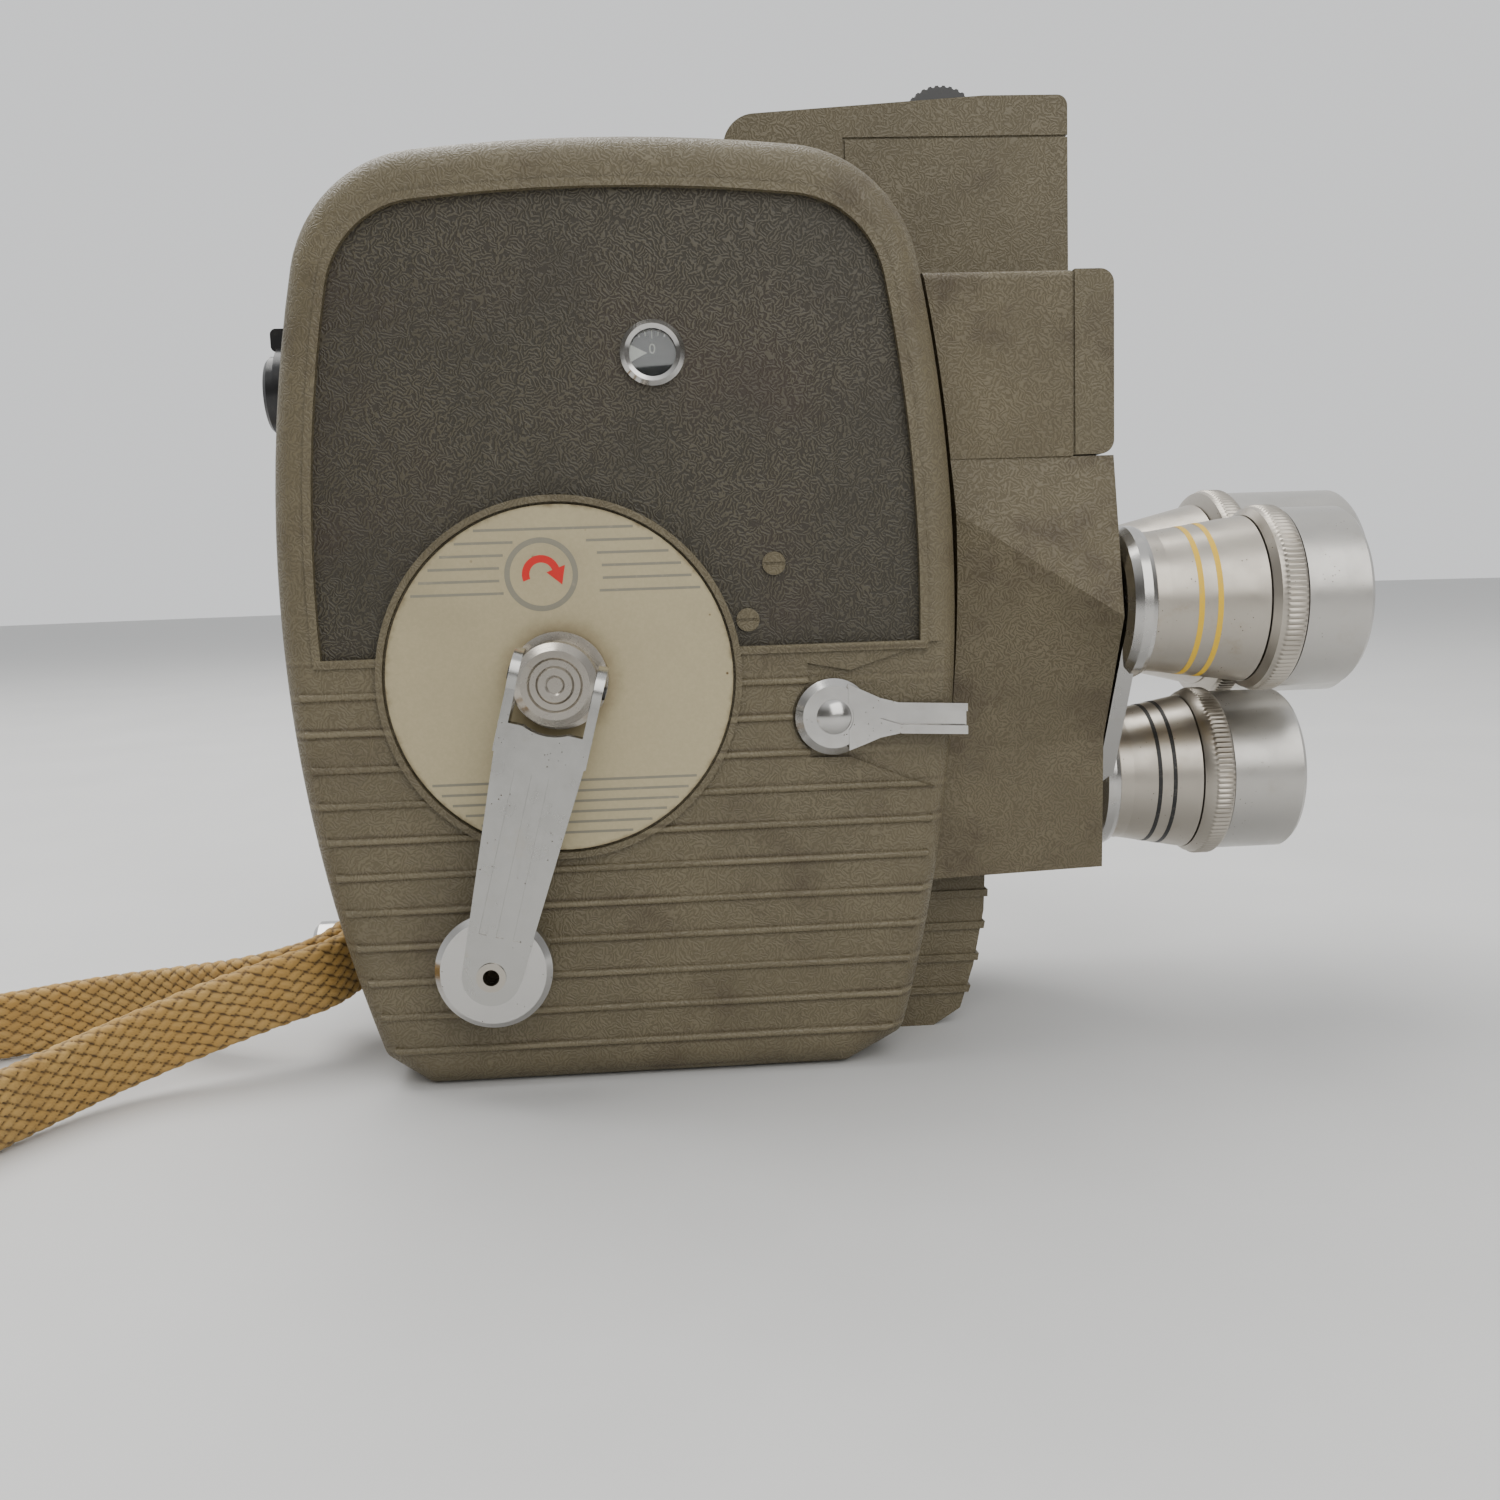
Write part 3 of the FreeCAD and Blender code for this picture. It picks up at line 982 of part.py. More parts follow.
# ==== turret and lenses =====================================================================
def lens_axis(index):
    """Axis of a lens as (y, z): 0 is near and high, 1 is low, 2 is the taking place on the film side."""
    angle = math.radians((150, 270, 30)[index])
    return LENS_CIRCLE_R * math.cos(angle), TURRET_Z + LENS_CIRCLE_R * math.sin(angle)


def turret_plate():
    """Polished three-lobed turret with a raised arm to each lobe."""
    hub = cyl_x(0, TURRET_Z, TURRET_X, SEAT_X - 0.6, 8.5)
    lobe = [(TURRET_X, 0), (TURRET_X, LOBE_R - 2.0), (TURRET_X + 0.7, LOBE_R - 0.7), (TURRET_X + 1.8, LOBE_R),
            (SEAT_X - 1.0, LOBE_R), (SEAT_X - 0.3, LOBE_R - 0.3), (SEAT_X, LOBE_R - 0.9), (SEAT_X, 0)]
    shapes = [hub]
    for index in range(3):
        y, z = lens_axis(index)
        shapes.append(turned_x(lobe, y, z))
        nexty, nextz = lens_axis((index + 1) % 3)
        span = V(0, nexty - y, nextz - z)
        side = V(0, -span.z, span.y).normalize() * (LOBE_R - 2.2)
        a = V(TURRET_X, y, z)
        corners = [a - side, a + span - side, a + span + side, a + side]
        web = Part.Face(Part.makePolygon(corners + [corners[0]])).extrude(V(TURRET_WEB, 0, 0))
        shapes.append(web)
        shapes.append(arm(y, z))
    plate = fuse(*shapes)
    holes = [cyl_x(*lens_axis(index), TURRET_X - 1, SEAT_X + 1, SPIGOT_R) for index in range(3)]
    return cut(plate, cyl_x(0, TURRET_Z, TURRET_X - 1, SEAT_X + 1, TURRET_PIVOT_R + RUNNING), *holes)


def arm(y, z):
    """Raised arm from the turret's centre to one lobe."""
    reach = V(0, y, z - TURRET_Z)
    side = V(0, -reach.z, reach.y).normalize()
    centre = V(TURRET_X, 0, TURRET_Z)
    corners = [centre - side * 6.5, centre + reach - side * 8.5, centre + reach + side * 8.5, centre + side * 6.5]
    return Part.Face(Part.makePolygon(corners + [corners[0]])).extrude(V(TURRET_THICK - 1.0, 0, 0))


def turret_screw():
    """Slotted pivot screw of the turret."""
    head_x = SEAT_X - 0.6 + RUNNING * 2
    head = turned_x([(head_x, 0), (head_x, 4.4), (head_x + 1.2, 4.4), (head_x + 1.8, 3.8), (head_x + 1.8, 0)], 0, TURRET_Z)
    slot = box(head_x + 1.0, head_x + 3, -5, 5, TURRET_Z - 0.5, TURRET_Z + 0.5)
    return fuse(cut(head, slot), cyl_x(0, TURRET_Z, FACE_X - PIVOT_BOSS_DEPTH, head_x, TURRET_PIVOT_R))


def lens_stations(index):
    """X of the barrel's end, the ring's two faces and the front barrel's end."""
    lens = LENSES[index]
    barrel_end = SEAT_X + lens["barrel"]
    ring_end = barrel_end + RING_AIR + lens["ring"]
    return barrel_end, barrel_end + RING_AIR, ring_end, ring_end + RING_AIR + lens["front"]


def lens_barrel(index):
    """Tapered rear barrel with its mounting spigot and the seat of the turning ring."""
    lens = LENSES[index]
    barrel_end, ring_start, ring_end, _ = lens_stations(index)
    seat = lens["neck_r"] - RING_SEAT
    profile = [(TURRET_X + 0.3, BORE_R), (TURRET_X + 0.3, SPIGOT_R), (SEAT_X, SPIGOT_R), (SEAT_X, lens["seat_r"]),
               (SEAT_X + 2.0, lens["seat_r"] + 0.1), (barrel_end, lens["neck_r"]), (barrel_end, seat),
               (ring_end + RING_AIR, seat), (ring_end + RING_AIR, BORE_R)]
    return turned_x(profile, *lens_axis(index))


def lens_ring(index):
    """Knurled ring that turns on the barrel."""
    lens = LENSES[index]
    _, x0, x1, _ = lens_stations(index)
    bore = lens["neck_r"] - RING_SEAT + RUNNING
    profile = [(x0, bore), (x0, lens["neck_r"] + 0.1), (x0 + 0.9, lens["ring_r"]), (x1, lens["ring_r"]), (x1, bore)]
    return turned_x(profile, *lens_axis(index))


def lens_front(index):
    """Front barrel with its filter step and inner cone."""
    lens = LENSES[index]
    _, _, ring_end, end = lens_stations(index)
    x0 = ring_end + RING_AIR
    r = lens["front_r"]
    glass = lens["glass_r"]
    profile = [(x0, BORE_R), (x0, r), (end - 0.6, r), (end, r - 0.5), (end, r - 1.4), (end - 2.2, r - 1.8),
               (end - 3.4, glass + 0.6), (end - 3.4, glass), (x0 + 1.2, glass), (x0 + 1.2, BORE_R)]
    return turned_x(profile, *lens_axis(index))


def lens_glass(index):
    """Front element, domed, held in the front barrel."""
    lens = LENSES[index]
    end = lens_stations(index)[3]
    y, z = lens_axis(index)
    glass = lens["glass_r"]
    rim = cyl_x(y, z, end - 3.6 - GLASS_EDGE, end - 3.6, glass)
    big = 2.2 * glass
    depth = big - math.sqrt(big * big - glass * glass)
    centre = end - 3.6 + depth - big
    dome = Part.makeSphere(big, V(centre, y, z)).common(cyl_x(y, z, end - 3.6, end + 5, glass))
    return fuse(rim, dome)


# ==== film side =============================================================================
def film_door():
    """Lift-off film door with a rim that drops inside the chamber."""
    y0 = DOOR_Y + RUNNING
    front_end = FACE_X - BEZEL_THICK - GAP
    tongue = box(FRONT_X - 12, front_end, y0, FAR_Y, BLOCK_BOTTOM_Z + 1.5, FINDER_TOP_Z - 2.0)
    door = fuse(rounded_rim(outline_prism(y0, FAR_Y), FAR_Y, DOOR_ROUND), rounded_rim(tongue, FAR_Y, DOOR_ROUND))
    inside = outline_prism(DOOR_Y - 1, FAR_Y - WALL, -WALL)
    tongue_inside = box(FRONT_X - 12, FACE_X - BEZEL_THICK - GAP - WALL, DOOR_Y - 1, FAR_Y - WALL,
                        BLOCK_BOTTOM_Z + 1.5 + WALL, FINDER_TOP_Z - 2.0 - WALL)
    door = cut(door, inside, tongue_inside)
    collar = cyl_y(LOCK_X, LOCK_Z, FAR_Y - WALL - 2.0, FAR_Y - WALL + 0.1, 4.6)
    sunk = cyl_y(LOCK_X, LOCK_Z, FAR_Y - 0.8, FAR_Y + 1, LOCK_R + 1.2)
    bore = cyl_y(LOCK_X, LOCK_Z, FAR_Y - WALL - 3, FAR_Y + 1, 2.2 + RUNNING)
    return cut(fuse(door, collar), sunk, bore, shutter_room(RUNNING))


def door_lock():
    """Turning lock of the film door: knob with a finger bar outside, latch bar inside."""
    disc = cyl_y(LOCK_X, LOCK_Z, FAR_Y - 0.8 + 0.1, FAR_Y + 0.4, LOCK_R)
    bar = box(LOCK_X - LOCK_R + 0.8, LOCK_X + LOCK_R - 0.8, FAR_Y + 0.4, FAR_Y + 3.0, LOCK_Z - 1.4, LOCK_Z + 1.4)
    shaft = cyl_y(LOCK_X, LOCK_Z, FAR_Y - WALL - 3.6, FAR_Y, 2.2)
    latch = box(LOCK_X - 9, LOCK_X + 9, FAR_Y - WALL - 3.6, FAR_Y - WALL - 2.3, LOCK_Z - 2.0, LOCK_Z + 2.0)
    return fuse(disc, bar, shaft, latch)


def spindle(z):
    """Spool spindle with its drive flats, carried in the web."""
    shaft = cyl_y(SPOOL_X, z, WEB_Y - 0.6, FILM_Y + SPOOL_WIDTH - 1, SPINDLE_R)
    collar = cyl_y(SPOOL_X, z, WEB_Y - 1.6, WEB_Y - 0.1, SPINDLE_R + 1.4)
    flats = [box(SPOOL_X - 5, SPOOL_X + 5, FILM_Y + 1.2, FILM_Y + SPOOL_WIDTH, z + s * 4.4 - 1.6, z + s * 4.4 + 1.6)
             for s in (-1, 1)]
    return fuse(cut(shaft, *flats), collar)


def spool(z):
    """Film spool: two thin flanges on a core."""
    y0 = FILM_Y + 1.2 + GAP
    y1 = y0 + SPOOL_WIDTH
    core = cyl_y(SPOOL_X, z, y0, y1, 7.5)
    flanges = [cyl_y(SPOOL_X, z, y0, y0 + 0.6, SPOOL_R), cyl_y(SPOOL_X, z, y1 - 0.6, y1, SPOOL_R)]
    windows = [cyl_y(SPOOL_X + 16 * math.cos(a), z + 16 * math.sin(a), y0 - 1, y1 + 1, 5.0)
               for a in (math.radians(90 + 120 * k) for k in range(3))]
    body = cut(fuse(core, *flanges), *windows)
    return cut(body, cyl_y(SPOOL_X, z, y0 - 1, y1 + 1, SPINDLE_R + RUNNING))


def film_gate():
    """Film gate behind the taking lens, on a foot that stands on the casting's wall."""
    y, z = lens_axis(2)
    low = GATE_LOW_Z - 6
    plate = box(GATE_X, GATE_X + 2.0, FILM_Y + 1.0, DOOR_Y - 0.6, low, GATE_HIGH_Z - 6)
    web = box(GATE_X, FACE_X - 3.0, FILM_Y + 1.0, FILM_Y + 3.0, low, low + 4)
    aperture = box(GATE_X - 1, GATE_X + 3, y - 2.4, y + 2.4, z - 1.8, z + 1.8)
    slot = box(GATE_X - 1, GATE_X + 3, FILM_Y + 2.2, FILM_Y + 3.8, z - 9, z - 3)
    return cut(fuse(plate, web), aperture, slot, shutter_room(RUNNING))


def pressure_plate():
    """Sprung plate that holds the film flat in the gate."""
    y, z = lens_axis(2)
    plate = box(GATE_X - 1.6, GATE_X - 0.4, FILM_Y + 1.6, DOOR_Y - 1.0, z - 11, z + 11)
    return fuse(plate, box(GATE_X - 4.0, GATE_X - 1.6, y - 5, y - 1, z - 3, z + 3))


def shutter_disc():
    """Rotating shutter with its open sector, on its shaft."""
    x0 = GATE_X + 4.0
    disc = cyl_x(SHUTTER_Y, SHUTTER_Z, x0, x0 + 0.6, SHUTTER_R)
    reach = SHUTTER_R + 2
    start = math.radians(10)
    end = math.radians(170)
    corners = [V(x0 - 1, SHUTTER_Y, SHUTTER_Z)]
    for k in range(5):
        a = start + (end - start) * k / 4
        corners.append(V(x0 - 1, SHUTTER_Y + reach * 1.3 * math.cos(a), SHUTTER_Z + reach * 1.3 * math.sin(a)))
    sector = Part.Face(Part.makePolygon(corners + [corners[0]])).extrude(V(3, 0, 0))
    hub = cyl_x(SHUTTER_Y, SHUTTER_Z, x0 - 0.8, x0 + 1.0, 3.4)
    shaft = cyl_x(SHUTTER_Y, SHUTTER_Z, FRONT_X + 3.0, x0 + 1.0, SHUTTER_SHAFT_R)
    return fuse(cut(disc, sector), hub, shaft)


def shutter_bracket():
    """Two-armed bearing bracket of the shutter's shaft, on the near wall of the turret housing."""
    rear = FRONT_X + 4.0
    front = GATE_X - 3.0
    near = -12.0
    arms = [box(x, x + 2.0, near, SHUTTER_Y + SHUTTER_SHAFT_R + 1.0, SHUTTER_Z - 3.5, SHUTTER_Z + 3.5)
            for x in (rear, front)]
    back = box(rear, front + 2.0, near, near + 1.6, SHUTTER_Z - 6.0, SHUTTER_Z + 5.0)
    return cut(fuse(back, *arms), cyl_x(SHUTTER_Y, SHUTTER_Z, rear - 1, front + 3, SHUTTER_SHAFT_R + RUNNING))


# ==== motor =================================================================================
def gear_y(x, z, y0, y1, teeth, module, bore, phase):
    """Straight-toothed wheel along Y, its teeth a little thin so that a coupled pair runs free."""
    pitch_r = module * teeth / 2
    tip_r = pitch_r + 0.75 * module
    root_r = pitch_r - 1.0 * module
    step = 2 * math.pi / teeth
    corners = []
    for k in range(teeth):
        middle = phase + k * step
        for share, radius in ((-0.30, root_r), (-0.20, pitch_r), (-0.11, tip_r), (0.11, tip_r),
                              (0.20, pitch_r), (0.30, root_r)):
            angle = middle + share * step
            corners.append((x + radius * math.cos(angle), z + radius * math.sin(angle)))
    return cut(polygon_y(corners, y0, y1), cyl_y(x, z, y0 - 1, y1 + 1, bore)) if bore else polygon_y(corners, y0, y1)


def mesh_phase(teeth, toward):
    """Phase that puts a tooth space, not a tooth, in the direction given in degrees."""
    return math.radians(toward) + math.pi / teeth


def spring_barrel():
    """Mainspring barrel with its great wheel."""
    near = NEAR_Y + COVER_WALL + 1.6
    drum = cyl_y(KEY_X, KEY_Z, near, BARREL_GEAR_Y, BARREL_R)
    wheel = gear_y(KEY_X, KEY_Z, BARREL_GEAR_Y, BARREL_GEAR_Y + GEAR_FACE, BARREL_TEETH, BARREL_MODULE, 0,
                   math.radians(TRANSFER_ANGLE))
    return cut(fuse(drum, wheel), cyl_y(KEY_X, KEY_Z, near - 1, 0, ARBOR_R + RUNNING))


def transfer_wheel():
    """Arbor with a pinion on the great wheel and a wheel that drives the governor."""
    x, z = transfer_at()
    pinion = gear_y(x, z, BARREL_GEAR_Y, BARREL_GEAR_Y + GEAR_FACE, TRANSFER_PINION_TEETH, BARREL_MODULE, 0,
                    mesh_phase(TRANSFER_PINION_TEETH, TRANSFER_ANGLE + 180))
    y0 = MOTOR_PLATE_Y + MOTOR_PLATE + 0.6
    wheel = gear_y(x, z, y0, y0 + GEAR_FACE, TRANSFER_TEETH, TRANSFER_MODULE, 0, math.radians(GOVERNOR_ANGLE))
    arbor = cyl_y(x, z, BARREL_GEAR_Y - 0.8, WEB_Y + 1.4, ARBOR_SMALL_R)
    return fuse(pinion, wheel, arbor)


def governor():
    """Governor arbor: its pinion on the transfer wheel, its fly drum on the winding side."""
    x, z = governor_at()
    y0 = MOTOR_PLATE_Y + MOTOR_PLATE + 0.6
    pinion = gear_y(x, z, y0, y0 + GEAR_FACE, GOVERNOR_PINION_TEETH, TRANSFER_MODULE, 0,
                    mesh_phase(GOVERNOR_PINION_TEETH, GOVERNOR_ANGLE + 180))
    drum = cyl_y(x, z, MOTOR_PLATE_Y - 8.0, MOTOR_PLATE_Y - 2.0, 6.0)
    return fuse(pinion, cyl_y(x, z, MOTOR_PLATE_Y - 9.0, WEB_Y + 1.4, ARBOR_SMALL_R), drum)


def motor_plate():
    """Plate that carries the motor's arbors, on four pillars from the web."""
    y0 = MOTOR_PLATE_Y
    extent = box(REAR_X, FRONT_X, NEAR_Y, FAR_Y, MOTOR_PLATE_LOW_Z, MOTOR_PLATE_HIGH_Z)
    plate = outline_prism(y0, y0 + MOTOR_PLATE, -WALL - 2.0).common(extent)
    low = MOTOR_PLATE_LOW_Z + 4.0
    high = MOTOR_PLATE_HIGH_Z - 6.0
    pillars = [cyl_y(x, z, y0 + MOTOR_PLATE, WEB_Y, 2.5) for x, z in ((-31, low), (-2, low), (-34, high), (33, high))]
    tools = [cyl_y(KEY_X, KEY_Z, y0 - 1, y0 + 3, ARBOR_R + RUNNING)]
    tools += [cyl_y(x, z, y0 - 1, y0 + 3, ARBOR_SMALL_R + RUNNING) for x, z in (transfer_at(), governor_at())]
    return cut(fuse(plate, *pillars), *tools)


# ==== write every piece =====================================================================
PIECES = {
    "motor_cover": motor_cover,
    "cover_screws": cover_screws,
    "winding_plate": winding_plate,
    "counter_bezel": counter_bezel,
    "counter_glass": counter_glass,
    "counter_dial": counter_dial,
    "counter_bracket": counter_bracket,
    "key_hub": key_hub,
    "crank_pins": crank_pins,
    "winding_arbor": winding_arbor,
    "crank_arm": crank_arm,
    "crank_knob": crank_knob,
    "knob_rivet": knob_rivet,
    "release_lever": release_lever,
    "lever_screw": lever_screw,
    "main_casting": main_casting,
    "tripod_bush": tripod_bush,
    "strap": strap,
    "strap_screw": strap_screw,
    "strap_washer": strap_washer,
    "front_casting": front_casting,
    "finder_bezel": finder_bezel,
    "finder_objective": finder_objective,
    "finder_tube": finder_tube,
    "eyepiece": eyepiece,
    "eyepiece_lens": eyepiece_lens,
    "focus_tab": focus_tab,
    "meter_housing": meter_housing,
    "meter_cell": meter_cell,
    "meter_window": meter_window,
    "meter_movement": meter_movement,
    "meter_cap": meter_cap,
    "setting_wheel": setting_wheel,
    "turret_plate": turret_plate,
    "turret_screw": turret_screw,
    "film_door": film_door,
    "door_lock": door_lock,
    "feed_spindle": lambda: spindle(FEED_Z),
    "takeup_spindle": lambda: spindle(TAKEUP_Z),
    "takeup_spool": lambda: spool(TAKEUP_Z),
    "film_gate": film_gate,
    "pressure_plate": pressure_plate,
    "shutter_disc": shutter_disc,
    "shutter_bracket": shutter_bracket,
    "spring_barrel": spring_barrel,
    "transfer_wheel": transfer_wheel,
    "governor": governor,
    "motor_plate": motor_plate,
}
LENS_NAMES = ("tele_lens", "normal_lens", "wide_lens")
for place, lens_name in enumerate(LENS_NAMES):
    PIECES[lens_name + "_barrel"] = lambda place=place: lens_barrel(place)
    PIECES[lens_name + "_ring"] = lambda place=place: lens_ring(place)
    PIECES[lens_name + "_front"] = lambda place=place: lens_front(place)
    PIECES[lens_name + "_glass"] = lambda place=place: lens_glass(place)

for name, make in PIECES.items():
    shape = make()
    print("%-20s valid %s, solids %d, volume %.1f" % (name, shape.isValid(), len(shape.Solids), shape.Volume))
    shape.exportStep("parts/" + name + ".step")
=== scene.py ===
"""Looks of a spring-wound cine camera: each visible piece and its finish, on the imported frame."""
import logging
import math
import random
from dataclasses import dataclass, field
from enum import Enum
from typing import Callable, Iterable, Optional, Sequence, Union

import bmesh
import bpy
from mathutils import Matrix, Vector


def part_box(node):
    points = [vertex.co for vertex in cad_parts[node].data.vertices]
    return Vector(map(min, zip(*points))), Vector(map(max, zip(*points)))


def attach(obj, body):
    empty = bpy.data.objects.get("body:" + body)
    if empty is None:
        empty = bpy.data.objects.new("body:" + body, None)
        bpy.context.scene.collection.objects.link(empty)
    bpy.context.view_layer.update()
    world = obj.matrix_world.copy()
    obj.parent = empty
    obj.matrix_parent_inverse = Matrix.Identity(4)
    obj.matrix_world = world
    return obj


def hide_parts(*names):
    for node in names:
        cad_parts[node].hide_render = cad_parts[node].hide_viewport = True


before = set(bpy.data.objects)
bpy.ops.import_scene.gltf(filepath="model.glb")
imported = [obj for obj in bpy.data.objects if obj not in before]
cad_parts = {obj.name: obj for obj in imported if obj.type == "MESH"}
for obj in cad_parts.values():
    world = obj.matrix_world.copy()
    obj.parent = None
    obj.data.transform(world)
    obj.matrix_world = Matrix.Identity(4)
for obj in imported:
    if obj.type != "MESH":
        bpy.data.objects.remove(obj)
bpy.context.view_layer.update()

MM = 0.001
Colour = tuple[float, float, float]
Point = tuple[float, float, float]
Socket = bpy.types.NodeSocket
Value = Union[Socket, float, tuple]

logging.basicConfig(level=logging.INFO, format="%(name)s: %(message)s")
log = logging.getLogger("cine_camera")


class Axis(Enum):
    """The line that a turned piece is turned about."""

    X = 0
    Y = 1
    Z = 2


class Grain(Enum):
    """How a bare metal was worked, which sets the way its fine lines run."""

    TURNED_ABOUT_X = "turned about X"
    TURNED_ABOUT_Y = "turned about Y"
    DRAWN = "drawn along X"
    POLISHED = "polished"


# ---- shader graphs -------------------------------------------------------------------------
class Graph:
    """One material's node tree, with short calls for the nodes that the finishes share."""

    def __init__(self, name: str) -> None:
        """Make an empty material with a Principled shader.

        Args:
            name: The material's name.
        """
        self.material = bpy.data.materials.new(name)
        self.material.use_nodes = True
        self.tree = self.material.node_tree
        self.tree.nodes.clear()
        self.shader = self.tree.nodes.new("ShaderNodeBsdfPrincipled")
        output = self.tree.nodes.new("ShaderNodeOutputMaterial")
        self.tree.links.new(self.shader.outputs[0], output.inputs[0])
        self._place: Optional[Socket] = None

    def feed(self, socket: Socket, value: Value) -> None:
        """Link a socket, or set its constant.

        Args:
            socket: The input to fill.
            value: Another node's output, a number or a colour.
        """
        if isinstance(value, bpy.types.NodeSocket):
            self.tree.links.new(value, socket)
        elif isinstance(value, (tuple, list)) and len(value) == 3 and socket.type == "RGBA":
            socket.default_value = (*value, 1.0)
        else:
            socket.default_value = value

    def set(self, **values: Value) -> None:
        """Fill the shader's own sockets.

        Args:
            **values: Socket names, with _ for a space, and what goes in each.
        """
        for name, value in values.items():
            self.feed(self.shader.inputs[name.replace("_", " ")], value)

    def place(self) -> Socket:
        """The point on the object, in metres in the row frame."""
        if self._place is None:
            self._place = self.tree.nodes.new("ShaderNodeTexCoord").outputs["Object"]
        return self._place

    def split(self, vector: Optional[Socket] = None) -> tuple[Socket, Socket, Socket]:
        """The three parts of a vector, the place if none is given."""
        node = self.tree.nodes.new("ShaderNodeSeparateXYZ")
        self.feed(node.inputs[0], vector or self.place())
        return node.outputs[0], node.outputs[1], node.outputs[2]

    def stretched(self, factors: Point) -> Socket:
        """The place, scaled differently along each axis."""
        node = self.tree.nodes.new("ShaderNodeMapping")
        self.feed(node.inputs["Vector"], self.place())
        node.inputs["Scale"].default_value = factors
        return node.outputs[0]

    def noise(self, size_mm: float, detail: float = 2.0, vector: Optional[Socket] = None,
              distortion: float = 0.0, roughness: float = 0.5) -> Socket:
        """Cloud noise whose lumps are about the given size.

        Args:
            size_mm: Lump size in millimetres.
            detail: Number of finer layers.
            vector: Where to read it, the place if left out.
            distortion: How far the lumps are stirred.
            roughness: Strength of the finer layers.

        Returns:
            The factor output.
        """
        node = self.tree.nodes.new("ShaderNodeTexNoise")
        self.feed(node.inputs["Vector"], vector or self.place())
        node.inputs["Scale"].default_value = 1.0 / (size_mm * MM)
        node.inputs["Detail"].default_value = detail
        node.inputs["Roughness"].default_value = roughness
        node.inputs["Distortion"].default_value = distortion
        return node.outputs[0]

    def cells(self, size_mm: float, vector: Optional[Socket] = None, randomness: float = 1.0) -> Socket:
        """Distance to the nearest of scattered points, for pits and specks."""
        node = self.tree.nodes.new("ShaderNodeTexVoronoi")
        self.feed(node.inputs["Vector"], vector or self.place())
        node.inputs["Scale"].default_value = 1.0 / (size_mm * MM)
        node.inputs["Randomness"].default_value = randomness
        return node.outputs["Distance"]

    def strokes(self, cell_mm: float, spacing_mm: float) -> Socket:
        """Short parallel folds whose direction changes from patch to patch.

        Args:
            cell_mm: Size of a patch.
            spacing_mm: Distance between folds.

        Returns:
            A wave from -1 to 1.
        """
        nodes = self.tree.nodes
        stir = nodes.new("ShaderNodeTexNoise")
        self.feed(stir.inputs["Vector"], self.place())
        stir.inputs["Scale"].default_value = 0.8 / (cell_mm * MM)
        shift = nodes.new("ShaderNodeVectorMath")
        shift.operation = "MULTIPLY_ADD"
        self.feed(shift.inputs[0], stir.outputs["Color"])
        shift.inputs[1].default_value = (1.3 * cell_mm * MM,) * 3
        self.feed(shift.inputs[2], self.place())
        patch = nodes.new("ShaderNodeTexVoronoi")
        self.feed(patch.inputs["Vector"], shift.outputs[0])
        patch.inputs["Scale"].default_value = 1.0 / (cell_mm * MM)
        centred = nodes.new("ShaderNodeVectorMath")
        centred.operation = "SUBTRACT"
        self.feed(centred.inputs[0], patch.outputs["Color"])
        centred.inputs[1].default_value = (0.5, 0.5, 0.5)
        way = nodes.new("ShaderNodeVectorMath")
        way.operation = "NORMALIZE"
        self.feed(way.inputs[0], centred.outputs[0])
        along = nodes.new("ShaderNodeVectorMath")
        along.operation = "DOT_PRODUCT"
        self.feed(along.inputs[0], shift.outputs[0])
        self.feed(along.inputs[1], way.outputs[0])
        return self.math("SINE", self.math("MULTIPLY", along.outputs["Value"], 2 * math.pi / (spacing_mm * MM)))

    def math(self, operation: str, first: Value, second: Value = 0.0) -> Socket:
        """One arithmetic node."""
        node = self.tree.nodes.new("ShaderNodeMath")
        node.operation = operation
        self.feed(node.inputs[0], first)
        self.feed(node.inputs[1], second)
        return node.outputs[0]

    def ramp(self, value: Value, low: float, high: float, out_low: float = 0.0, out_high: float = 1.0) -> Socket:
        """A smooth step from one value to another.

        Args:
            value: What to read.
            low: Where the step starts.
            high: Where it ends; below low turns the step round.
            out_low: Result before the step.
            out_high: Result after it.

        Returns:
            The stepped value.
        """
        node = self.tree.nodes.new("ShaderNodeMapRange")
        node.interpolation_type = "SMOOTHSTEP"
        if high < low:
            low, high, out_low, out_high = high, low, out_high, out_low
        for name, item in (("Value", value), ("From Min", low), ("From Max", high),
                           ("To Min", out_low), ("To Max", out_high)):
            self.feed(node.inputs[name], item)
        return node.outputs[0]

    def band(self, value: Socket, low: float, high: float, soft: float) -> Socket:
        """1 between two values, with soft ends."""
        rise = self.ramp(value, low - soft, low + soft)
        fall = self.ramp(value, high + soft, high - soft)
        return self.math("MULTIPLY", rise, fall)

    def tint(self, amount: Value, first: Value, second: Value) -> Socket:
        """A colour between two colours."""
        node = self.tree.nodes.new("ShaderNodeMix")
        node.data_type = "RGBA"
        self.feed(node.inputs[0], amount)
        self.feed(node.inputs[6], first)
        self.feed(node.inputs[7], second)
        return node.outputs[2]

    def bump(self, height: Socket, distance_mm: float, strength: float = 1.0, under: Optional[Socket] = None) -> Socket:
        """A bumped normal; the height is 0 to 1 and the distance its depth."""
        node = self.tree.nodes.new("ShaderNodeBump")
        node.inputs["Strength"].default_value = strength
        node.inputs["Distance"].default_value = distance_mm * MM
        self.feed(node.inputs["Height"], height)
        if under is not None:
            self.feed(node.inputs["Normal"], under)
        return node.outputs[0]

